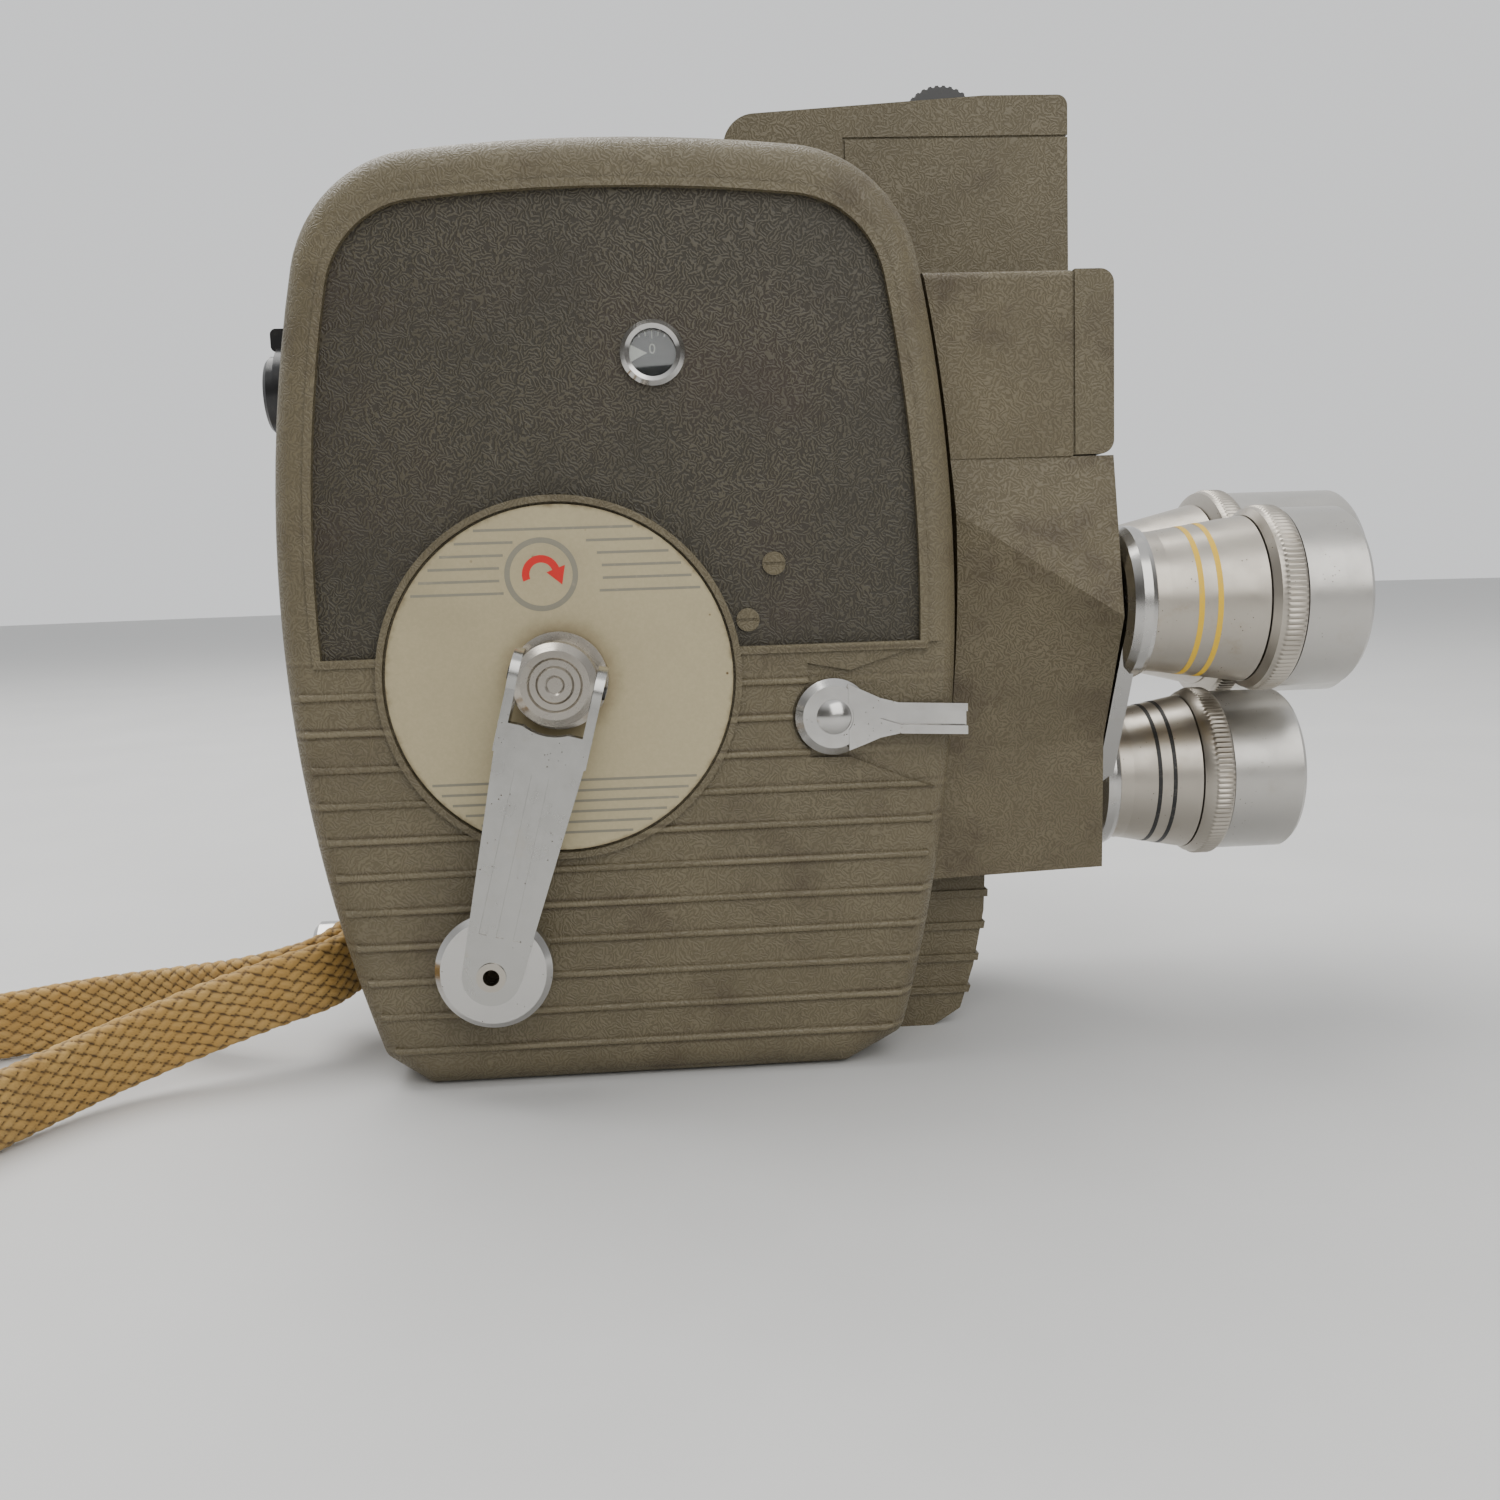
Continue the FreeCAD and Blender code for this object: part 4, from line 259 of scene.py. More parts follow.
    def facing(self) -> tuple[Socket, Socket, Socket]:
        """The surface's normal in the object's own axes, as three parts."""
        geometry = self.tree.nodes.new("ShaderNodeNewGeometry")
        turn = self.tree.nodes.new("ShaderNodeVectorTransform")
        turn.vector_type = "NORMAL"
        turn.convert_from = "WORLD"
        turn.convert_to = "OBJECT"
        self.feed(turn.inputs[0], geometry.outputs["Normal"])
        return self.split(turn.outputs[0])

    def attribute(self, name: str) -> Socket:
        """A value stored on the mesh's points."""
        node = self.tree.nodes.new("ShaderNodeAttribute")
        node.attribute_name = name
        return node.outputs["Fac"]


# ---- finishes ------------------------------------------------------------------------------
@dataclass(frozen=True)
class Enamel:
    """Wrinkle-textured baked enamel, with painted highlights on its fold tops and patches of dirt.

    Attributes:
        name: Material name.
        base: Colour of the paint.
        pale: Painted highlight on the wrinkle's tops, mixed with wear; the cover also paints it on its rib tops as a
            highlight.
        grime_and_shade: Colour of dirt that has settled; the cover also paints it as shade beside its ribs.
        patch_mm: Size of the patches in which the folds run one way.
        fold_mm: Distance between the wrinkle's folds.
        relief_mm: Height of the folds.
        grime_amount: 0 clean to 1 dirty.
    """

    name: str = "body_enamel"
    base: Colour = (0.118, 0.097, 0.054)
    pale: Colour = (0.215, 0.182, 0.112)
    grime_and_shade: Colour = (0.052, 0.034, 0.016)
    patch_mm: float = 0.9
    fold_mm: float = 0.42
    relief_mm: float = 0.05
    grime_amount: float = 0.55

    def folds(self, graph: Graph) -> Socket:
        """The wrinkle's winding folds, 0 in the valleys and 1 on the tops."""
        return graph.ramp(graph.strokes(self.patch_mm, self.fold_mm), -0.9, 0.9)

    def paint(self, graph: Graph, folds: Socket) -> Socket:
        """The paint's colour, with patches, painted highlights mixed with wear on the fold tops, and dirt."""
        patches = graph.noise(22.0, detail=4.0)
        body = graph.tint(graph.ramp(patches, 0.3, 0.72), tuple(c * 0.86 for c in self.base), self.base)
        # Painted highlight on the fold tops, mixed with wear in patches.
        worn = graph.math("MULTIPLY", folds, graph.ramp(graph.noise(9.0, detail=3.0), 0.25, 0.8, 0.22, 0.50))
        body = graph.tint(worn, body, self.pale)
        dirt = graph.math("MULTIPLY", graph.ramp(graph.noise(14.0, detail=5.0, roughness=0.62), 0.50, 0.74),
                          self.grime_amount)
        return graph.tint(dirt, body, self.grime_and_shade)

    def material(self) -> bpy.types.Material:
        """The finished material."""
        graph = Graph(self.name)
        folds = self.folds(graph)
        graph.set(Base_Color=self.paint(graph, folds), Roughness=graph.ramp(folds, 0.0, 1.0, 0.62, 0.44),
                  Normal=graph.bump(folds, self.relief_mm, 0.75))
        return graph.material


@dataclass(frozen=True)
class CoverEnamel(Enamel):
    """The motor cover's enamel: a darker sunk panel with painted highlights on its texture, painted highlights on the
    rib tops and painted shade beside each rib.

    Attributes:
        panel: Colour of the sunk panel.
        panel_pale: Painted highlight colour on the tops of the panel's texture.
        panel_y_mm: Y of the panel's face.
        lip_z_mm: Height of the panel's lower edge.
        rib_pitch_mm: Distance between ribs.
    """

    name: str = "cover_enamel"
    panel: Colour = (0.031, 0.026, 0.016)
    panel_pale: Colour = (0.078, 0.067, 0.042)
    panel_y_mm: float = -27.2
    lip_z_mm: float = 60.8
    rib_pitch_mm: float = 5.01

    def material(self) -> bpy.types.Material:
        """The finished material."""
        graph = Graph(self.name)
        folds = self.folds(graph)
        _, y, z = graph.split()
        _, facing_y, _ = graph.facing()
        flat = graph.ramp(facing_y, -0.93, -0.98)
        sunk = graph.math("MULTIPLY", graph.band(y, (self.panel_y_mm - 0.1) * MM, (self.panel_y_mm + 0.1) * MM, 1e-5), flat)
        purple = graph.ramp(graph.noise(30.0, detail=3.0), 0.45, 0.75)
        ground = graph.tint(purple, self.panel, tuple(a * b for a, b in zip(self.panel, (1.25, 1.0, 1.05))))
        # Painted highlights on the panel's fold tops.
        lines = graph.math("MULTIPLY", graph.ramp(folds, 0.45, 1.0), graph.ramp(graph.noise(16.0), 0.25, 0.7, 0.45, 1.0))
        panel = graph.tint(lines, ground, self.panel_pale)
        scuffs = graph.ramp(graph.noise(3.2, detail=6.0, vector=graph.stretched((1.0, 1.0, 0.22))), 0.72, 0.80, 0.0, 0.55)
        panel = graph.tint(scuffs, panel, (0.30, 0.28, 0.23))
        step = graph.math("FRACT", graph.math("DIVIDE", graph.math("SUBTRACT", self.lip_z_mm * MM, z), self.rib_pitch_mm * MM))
        beside = graph.math("ABSOLUTE", graph.math("SUBTRACT", graph.math("ABSOLUTE", graph.math("SUBTRACT", step, 0.5)), 0.5))
        below_lip = graph.ramp(z, (self.lip_z_mm + 0.4) * MM, (self.lip_z_mm - 0.4) * MM)
        # Painted highlight along the top of each rib.
        top = graph.math("MULTIPLY", graph.ramp(beside, 0.085, 0.03), below_lip)
        # Painted shade in a band on each side of every rib.
        foot = graph.math("MULTIPLY", graph.band(beside, 0.10, 0.17, 0.03), below_lip)
        shell = self.paint(graph, folds)
        streaks = graph.ramp(graph.noise(7.0, detail=4.0, vector=graph.stretched((0.35, 1.0, 1.0))), 0.34, 0.70)
        # Painted shade beside the ribs, broken by streaks.
        shell = graph.tint(graph.math("MULTIPLY", foot, graph.math("MULTIPLY", streaks, 0.55)), shell, self.grime_and_shade)
        # Painted highlight on the rib tops, broken by streaks.
        shell = graph.tint(graph.math("MULTIPLY", top, graph.math("MULTIPLY", streaks, 0.60)), shell, self.pale)
        graph.set(Base_Color=graph.tint(sunk, shell, panel), Roughness=graph.ramp(folds, 0.0, 1.0, 0.60, 0.40),
                  Normal=graph.bump(folds, self.relief_mm, 0.8))
        return graph.material


@dataclass(frozen=True)
class BareMetal:
    """Worked and aged metal: fine tool lines, haze, pits and a little tarnish.

    Attributes:
        name: Material name.
        colour: Colour of the clean metal.
        tarnish: Colour of its stains.
        smooth: Roughness of the brightest places.
        dull: Roughness of the haziest places.
        grain: How it was worked.
        pits: 0 none to 1 many.
        stains: 0 clean to 1 stained.
    """

    name: str
    colour: Colour = (0.74, 0.72, 0.69)
    tarnish: Colour = (0.34, 0.27, 0.18)
    smooth: float = 0.16
    dull: float = 0.34
    grain: Grain = Grain.POLISHED
    pits: float = 0.4
    stains: float = 0.3

    def lines(self, graph: Graph) -> Socket:
        """The fine lines that the tool left."""
        fast, slow = 9000.0 * MM, 60.0 * MM
        if self.grain is Grain.TURNED_ABOUT_X:
            return graph.noise(1.0, detail=2.0, vector=graph.stretched((fast, slow, slow)))
        if self.grain is Grain.TURNED_ABOUT_Y:
            return graph.noise(1.0, detail=2.0, vector=graph.stretched((slow, fast, slow)))
        if self.grain is Grain.DRAWN:
            return graph.noise(1.0, detail=3.0, vector=graph.stretched((slow, fast, fast)))
        return graph.noise(2.4, detail=5.0, roughness=0.65)

    def material(self) -> bpy.types.Material:
        """The finished material."""
        graph = Graph(self.name)
        lines = self.lines(graph)
        haze = graph.noise(6.0, detail=4.0, roughness=0.6)
        pit = graph.math("MULTIPLY", graph.ramp(graph.cells(0.75), 0.16, 0.07),
                         graph.ramp(graph.noise(4.0, detail=3.0), 0.52, 0.64, 0.0, self.pits))
        stain = graph.math("MULTIPLY", graph.ramp(graph.noise(5.5, detail=6.0, roughness=0.68), 0.55, 0.76), self.stains)
        colour = graph.tint(stain, self.colour, self.tarnish)
        colour = graph.tint(pit, colour, tuple(c * 0.35 for c in self.tarnish))
        rough = graph.math("ADD", graph.ramp(haze, 0.3, 0.75, self.smooth, self.dull),
                           graph.math("MULTIPLY", lines, 0.10))
        rough = graph.math("ADD", rough, graph.math("MULTIPLY", pit, 0.4))
        height = graph.math("SUBTRACT", graph.math("MULTIPLY", lines, 0.35), pit)
        graph.shader.inputs["Metallic"].default_value = 1.0
        graph.set(Base_Color=colour, Roughness=rough, Normal=graph.bump(height, 0.02, 0.5))
        return graph.material


@dataclass(frozen=True)
class PlatePaint:
    """Satin cream-gold of the plate behind the key, stained at its edge and round the hub.

    Attributes:
        name: Material name.
        colour: Colour of the plate.
        stain: Colour of the stains.
        centre_mm: The plate's centre, as (x, z).
        radius_mm: The plate's radius.
    """

    name: str = "cream_plate"
    colour: Colour = (0.50, 0.435, 0.275)
    stain: Colour = (0.135, 0.085, 0.035)
    centre_mm: tuple[float, float] = (-9.4, 57.2)
    radius_mm: float = 23.65

    def material(self) -> bpy.types.Material:
        """The finished material."""
        graph = Graph(self.name)
        x, _, z = graph.split()
        dx = graph.math("SUBTRACT", x, self.centre_mm[0] * MM)
        dz = graph.math("SUBTRACT", z, self.centre_mm[1] * MM)
        away = graph.math("SQRT", graph.math("ADD", graph.math("MULTIPLY", dx, dx), graph.math("MULTIPLY", dz, dz)))
        ragged = graph.math("ADD", away, graph.math("MULTIPLY", graph.noise(2.2, detail=5.0, roughness=0.7), 0.0022))
        rim = graph.ramp(ragged, (self.radius_mm + 0.5) * MM, (self.radius_mm + 1.7) * MM, 0.0, 0.7)
        hub = graph.math("MULTIPLY", graph.ramp(ragged, 10.6 * MM, 7.2 * MM), 0.45)
        specks = graph.math("MULTIPLY", graph.ramp(graph.cells(2.6), 0.10, 0.05),
                            graph.ramp(graph.noise(7.0, detail=2.0), 0.55, 0.62))
        fine = graph.ramp(graph.noise(0.5, detail=5.0, roughness=0.7), 0.35, 0.7)
        colour = graph.tint(fine, tuple(c * 0.93 for c in self.colour), self.colour)
        dirt = graph.math("MAXIMUM", graph.math("MAXIMUM", rim, hub), specks)
        brushed = graph.noise(1.0, detail=2.0, vector=graph.stretched((0.06, 1.0, 9.0)))
        graph.shader.inputs["Metallic"].default_value = 0.55
        graph.set(Base_Color=graph.tint(dirt, colour, self.stain),
                  Roughness=graph.ramp(graph.noise(8.0, detail=4.0), 0.3, 0.7, 0.34, 0.48),
                  Normal=graph.bump(brushed, 0.01, 0.35))
        return graph.material


@dataclass(frozen=True)
class Ink:
    """A thin printed or painted line, slightly worn.

    Attributes:
        name: Material name.
        colour: The ink's colour.
        worn: The colour that shows where it has rubbed off.
        roughness: Roughness of the ink.
        wear: 0 whole to 1 worn.
    """

    name: str
    colour: Colour
    worn: Colour
    roughness: float = 0.45
    wear: float = 0.35

    def material(self) -> bpy.types.Material:
        """The finished material."""
        graph = Graph(self.name)
        rubbed = graph.math("MULTIPLY", graph.ramp(graph.noise(1.1, detail=5.0, roughness=0.7), 0.52, 0.72), self.wear)
        fine = graph.noise(0.3, detail=3.0)
        graph.shader.inputs["Roughness"].default_value = self.roughness
        graph.set(Base_Color=graph.tint(rubbed, self.colour, self.worn), Normal=graph.bump(fine, 0.01, 0.4))
        return graph.material


@dataclass(frozen=True)
class DarkSolid:
    """Black moulded plastic or blackened metal, with dust and a soft sheen.

    Attributes:
        name: Material name.
        colour: Colour of the solid.
        dust: Colour of the dust on it.
        smooth: Roughness where it is clean.
        dull: Roughness where it is dusty.
    """

    name: str
    colour: Colour = (0.012, 0.012, 0.013)
    dust: Colour = (0.09, 0.08, 0.065)
    smooth: float = 0.28
    dull: float = 0.55

    def material(self) -> bpy.types.Material:
        """The finished material."""
        graph = Graph(self.name)
        dust = graph.ramp(graph.noise(3.5, detail=5.0, roughness=0.66), 0.48, 0.78, 0.0, 0.5)
        fine = graph.noise(0.45, detail=3.0)
        graph.set(Base_Color=graph.tint(dust, self.colour, self.dust),
                  Roughness=graph.ramp(dust, 0.0, 0.5, self.smooth, self.dull), Normal=graph.bump(fine, 0.02, 0.4))
        return graph.material


@dataclass(frozen=True)
class OpticalGlass:
    """Clear or coated glass.

    Attributes:
        name: Material name.
        tint: Colour of the light that passes.
        coated: True for a lens with a faint violet coating.
    """

    name: str
    tint: Colour = (0.86, 0.90, 0.90)
    coated: bool = False

    def material(self) -> bpy.types.Material:
        """The finished material."""
        graph = Graph(self.name)
        inputs = graph.shader.inputs
        inputs["Transmission Weight"].default_value = 1.0
        inputs["IOR"].default_value = 1.52
        if self.coated:
            inputs["Specular Tint"].default_value = (0.72, 0.62, 1.0, 1.0)
        smear = graph.noise(5.0, detail=4.0)
        graph.set(Base_Color=graph.tint(graph.ramp(smear, 0.4, 0.8), self.tint, tuple(c * 0.93 for c in self.tint)),
                  Roughness=graph.ramp(smear, 0.45, 0.8, 0.015, 0.09))
        return graph.material


@dataclass(frozen=True)
class BraidYarn:
    """Golden-tan yarn with painted shade between the plaits and between the yarns; the plaits' tops show the yarn's
    colour.

    Attributes:
        name: Material name.
        top: Colour of the plaits' tops.
        crevice_shade: Painted shade between the plaits and between the yarns.
        soil: Colour of handling marks.
    """

    name: str = "strap_braid"
    top: Colour = (0.40, 0.235, 0.060)
    crevice_shade: Colour = (0.060, 0.030, 0.008)
    soil: Colour = (0.19, 0.115, 0.04)

    def material(self) -> bpy.types.Material:
        """The finished material."""
        graph = Graph(self.name)
        height = graph.attribute("plait")
        yarn = graph.attribute("yarn")
        fibre = graph.noise(0.35, detail=5.0, roughness=0.7)
        # Painted shade: the plait's height runs the colour from dark crevices to the yarn's colour on the tops.
        colour = graph.tint(graph.ramp(height, 0.05, 0.75), self.crevice_shade, self.top)
        pale = graph.ramp(graph.noise(5.0, detail=3.0), 0.35, 0.7, 0.0, 0.45)
        # Paler patches, still with painted shade in the crevices.
        colour = graph.tint(pale, colour, graph.tint(graph.ramp(height, 0.05, 0.9), self.crevice_shade, (0.50, 0.33, 0.115)))
        colour = graph.tint(graph.ramp(graph.noise(11.0, detail=4.0), 0.52, 0.78, 0.0, 0.6), colour, self.soil)
        # Painted shade between the yarns.
        colour = graph.tint(graph.ramp(yarn, 0.35, 0.0, 0.0, 0.38), colour, self.crevice_shade)
        relief = graph.math("ADD", graph.math("MULTIPLY", fibre, 0.6), graph.math("MULTIPLY", yarn, 0.5))
        inputs = graph.shader.inputs
        inputs["Sheen Weight"].default_value = 0.35
        inputs["Sheen Roughness"].default_value = 0.45
        inputs["Sheen Tint"].default_value = (0.95, 0.80, 0.50, 1.0)
        graph.set(Base_Color=colour, Roughness=graph.ramp(fibre, 0.3, 0.7, 0.62, 0.82),
                  Normal=graph.bump(relief, 0.09, 0.8))
        return graph.material


@dataclass(frozen=True)
class FloorPaint:
    """Matt pale floor of the studio.

    Attributes:
        name: Material name.
        colour: The floor's colour.
    """

    name: str = "studio_floor"
    colour: Colour = (0.60, 0.60, 0.595)

    def material(self) -> bpy.types.Material:
        """The finished material."""
        graph = Graph(self.name)
        cloud = graph.noise(60.0, detail=5.0, roughness=0.6)
        graph.set(Base_Color=graph.tint(graph.ramp(cloud, 0.3, 0.75), tuple(c * 0.95 for c in self.colour), self.colour),
                  Roughness=graph.ramp(cloud, 0.3, 0.7, 0.55, 0.68), Normal=graph.bump(graph.noise(4.0, detail=4.0), 0.05, 0.25))
        return graph.material


class Finishes:
    """Every material of the camera, made once."""

    def __init__(self) -> None:
        """Make the materials."""
        self.enamel = Enamel().material()
        self.cover = CoverEnamel().material()
        self.front = Enamel(name="front_enamel", grime_amount=0.85, base=(0.112, 0.090, 0.048)).material()
        self.chrome = BareMetal("chrome", colour=(0.52, 0.51, 0.49), smooth=0.07, dull=0.20, pits=0.7, stains=0.22).material()
        self.crank = BareMetal("crank_chrome", colour=(0.43, 0.425, 0.405), smooth=0.12, dull=0.26, pits=1.0,
                               stains=0.30).material()
        self.hub = BareMetal("hub_nickel", colour=(0.44, 0.41, 0.36), smooth=0.14, dull=0.30,
                             grain=Grain.TURNED_ABOUT_Y, pits=0.5, stains=0.55).material()
        self.turret = BareMetal("turret_polish", colour=(0.50, 0.49, 0.47), smooth=0.12, dull=0.26, pits=0.4,
                                stains=0.18).material()
        self.barrel = BareMetal("barrel_satin", colour=(0.45, 0.415, 0.36), smooth=0.24, dull=0.38,
                                grain=Grain.TURNED_ABOUT_X, pits=0.9, stains=0.45).material()
        self.front_barrel = BareMetal("front_barrel_satin", colour=(0.50, 0.485, 0.455), smooth=0.26, dull=0.38,
                                      grain=Grain.TURNED_ABOUT_X, pits=0.7, stains=0.20).material()
        self.steel = BareMetal("steel", colour=(0.50, 0.49, 0.47), smooth=0.25, dull=0.42, grain=Grain.DRAWN,
                               pits=0.3, stains=0.35).material()
        self.brass = BareMetal("brass", colour=(0.72, 0.52, 0.24), tarnish=(0.25, 0.15, 0.05), smooth=0.22,
                               dull=0.40, grain=Grain.TURNED_ABOUT_Y, pits=0.2, stains=0.4).material()
        self.plate = PlatePaint().material()
        self.black_metal = DarkSolid("black_metal", smooth=0.45, dull=0.62).material()
        self.black_plastic = DarkSolid("black_plastic").material()
        self.selenium = DarkSolid("selenium", colour=(0.045, 0.035, 0.045), smooth=0.18, dull=0.4).material()
        self.window = OpticalGlass("window_glass").material()
        self.lens = OpticalGlass("lens_glass", tint=(0.80, 0.84, 0.86), coated=True).material()
        self.braid = BraidYarn().material()
        self.grey_ink = Ink("grey_ink", colour=(0.235, 0.220, 0.165), worn=(0.42, 0.37, 0.26)).material()
        self.red_ink = Ink("red_ink", colour=(0.62, 0.012, 0.008), worn=(0.40, 0.05, 0.03), wear=0.15).material()
        self.yellow_ink = Ink("yellow_ink", colour=(0.80, 0.50, 0.02), worn=(0.45, 0.36, 0.18)).material()
        self.black_ink = Ink("black_ink", colour=(0.012, 0.012, 0.012), worn=(0.25, 0.22, 0.18), wear=0.25).material()
        self.white_ink = Ink("white_ink", colour=(0.72, 0.70, 0.62), worn=(0.35, 0.33, 0.28)).material()


# ---- mesh making ---------------------------------------------------------------------------
class MeshShop:
    """Makes meshes in millimetres in the row frame, and hangs them on their bodies."""

    @staticmethod
    def make(name: str, points: Sequence[Sequence[float]], faces: Sequence[Sequence[int]],
             material: bpy.types.Material, smooth_deg: float = 35.0) -> bpy.types.Object:
        """One mesh object.

        Args:
            name: The piece's name.
            points: Corners in millimetres.
            faces: Corner numbers of each face.
            material: The finish.
            smooth_deg: Faces that meet at less than this angle are shaded smooth.

        Returns:
            The new object.
        """
        mesh = bpy.data.meshes.new(name)
        mesh.from_pydata([tuple(c * MM for c in p) for p in points], [], [tuple(f) for f in faces])
        mesh.update()
        mesh.validate()
        obj = bpy.data.objects.new(name, mesh)
        bpy.context.scene.collection.objects.link(obj)
        mesh.materials.append(material)
        for polygon in mesh.polygons:
            polygon.use_smooth = True
        mesh.set_sharp_from_angle(angle=math.radians(smooth_deg))
        return obj

    @staticmethod
    def seat(obj: bpy.types.Object, body: str, slot: str, replaces: Iterable[str] = ()) -> bpy.types.Object:
        """Hang a piece on a body and say which nodes it stands for."""
        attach(obj, body)
        nodes = list(replaces)
        if nodes:
            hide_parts(*nodes)
        log.info("%s rides on %s%s", obj.name, body, " for " + ", ".join(nodes) if nodes else "")
        return obj

    @staticmethod
    def dress(material: bpy.types.Material, *nodes: str) -> None:
        """Give CAD nodes a finish."""
        for name in nodes:
            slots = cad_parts[name].material_slots
            if not slots:
                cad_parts[name].data.materials.append(material)
            for item in slots:
                item.material = material

    @staticmethod
    def around(axis: Axis, along: float, radius: float, angle: float, centre: tuple[float, float]) -> Point:
        """A point on a circle about an axis.

        Args:
            axis: The axis's direction.
            along: Place along the axis.
            radius: Distance from it.
            angle: Angle in radians.
            centre: The axis's other two coordinates, in X, Y, Z order.

        Returns:
            The point in millimetres.
        """
        a, b = centre[0] + radius * math.cos(angle), centre[1] + radius * math.sin(angle)
        if axis is Axis.X:
            return along, a, b
        if axis is Axis.Y:
            return a, along, b
        return a, b, along

    def turned(self, name: str, profile: Sequence[tuple[float, float]], axis: Axis, centre: tuple[float, float],
               material: bpy.types.Material, steps: int = 128, closed: bool = True,
               shape: Optional[Callable[[int, float], float]] = None) -> bpy.types.Object:
        """A turned piece.

        Args:
            name: The piece's name.
            profile: (along, radius) corners, in order.
            axis: The axis it is turned about.
            centre: The axis's other two coordinates.
            material: The finish.
            steps: Number of steps round the axis.
            closed: Whether the last corner joins the first.
            shape: Adds to a corner's radius, from its number and the angle.

        Returns:
            The new object.
        """
        points, faces = [], []
        count = len(profile)
        for step in range(steps):
            angle = 2 * math.pi * step / steps
            for corner, (along, radius) in enumerate(profile):
                extra = shape(corner, angle) if shape else 0.0
                points.append(self.around(axis, along, radius + extra, angle, centre))
        for step in range(steps):
            here, there = step * count, (step + 1) % steps * count
            for corner in range(count if closed else count - 1):
                after = (corner + 1) % count
                faces.append((here + corner, here + after, there + after, there + corner))
        return self.outward(self.make(name, points, faces, material))

    @staticmethod
    def outward(obj: bpy.types.Object) -> bpy.types.Object:
        """Turn a closed mesh's faces to look outwards."""
        work = bmesh.new()
        work.from_mesh(obj.data)
        bmesh.ops.recalc_face_normals(work, faces=work.faces)
        work.to_mesh(obj.data)
        work.free()
        return obj

    def slab(self, name: str, outlines: Sequence[Sequence[tuple[float, float]]], y_front: float, y_back: float,
             material: bpy.types.Material) -> bpy.types.Object:
        """Thin flat shapes that face the winding side, as one piece.

        Args:
            name: The piece's name.
            outlines: One convex outline of (x, z) corners per shape.
            y_front: Y of the shown face.
            y_back: Y of the hidden face.
            material: The finish.

        Returns:
            The new object.
        """
        points, faces = [], []
        for outline in outlines:
            start, count = len(points), len(outline)
            points += [(x, y_front, z) for x, z in outline] + [(x, y_back, z) for x, z in outline]
            faces.append(tuple(range(start, start + count)))
            faces.append(tuple(range(start + 2 * count - 1, start + count - 1, -1)))
            for k in range(count):
                after = (k + 1) % count
                faces.append((start + k, start + count + k, start + count + after, start + after))
        return self.outward(self.make(name, points, faces, material))


shop = MeshShop()


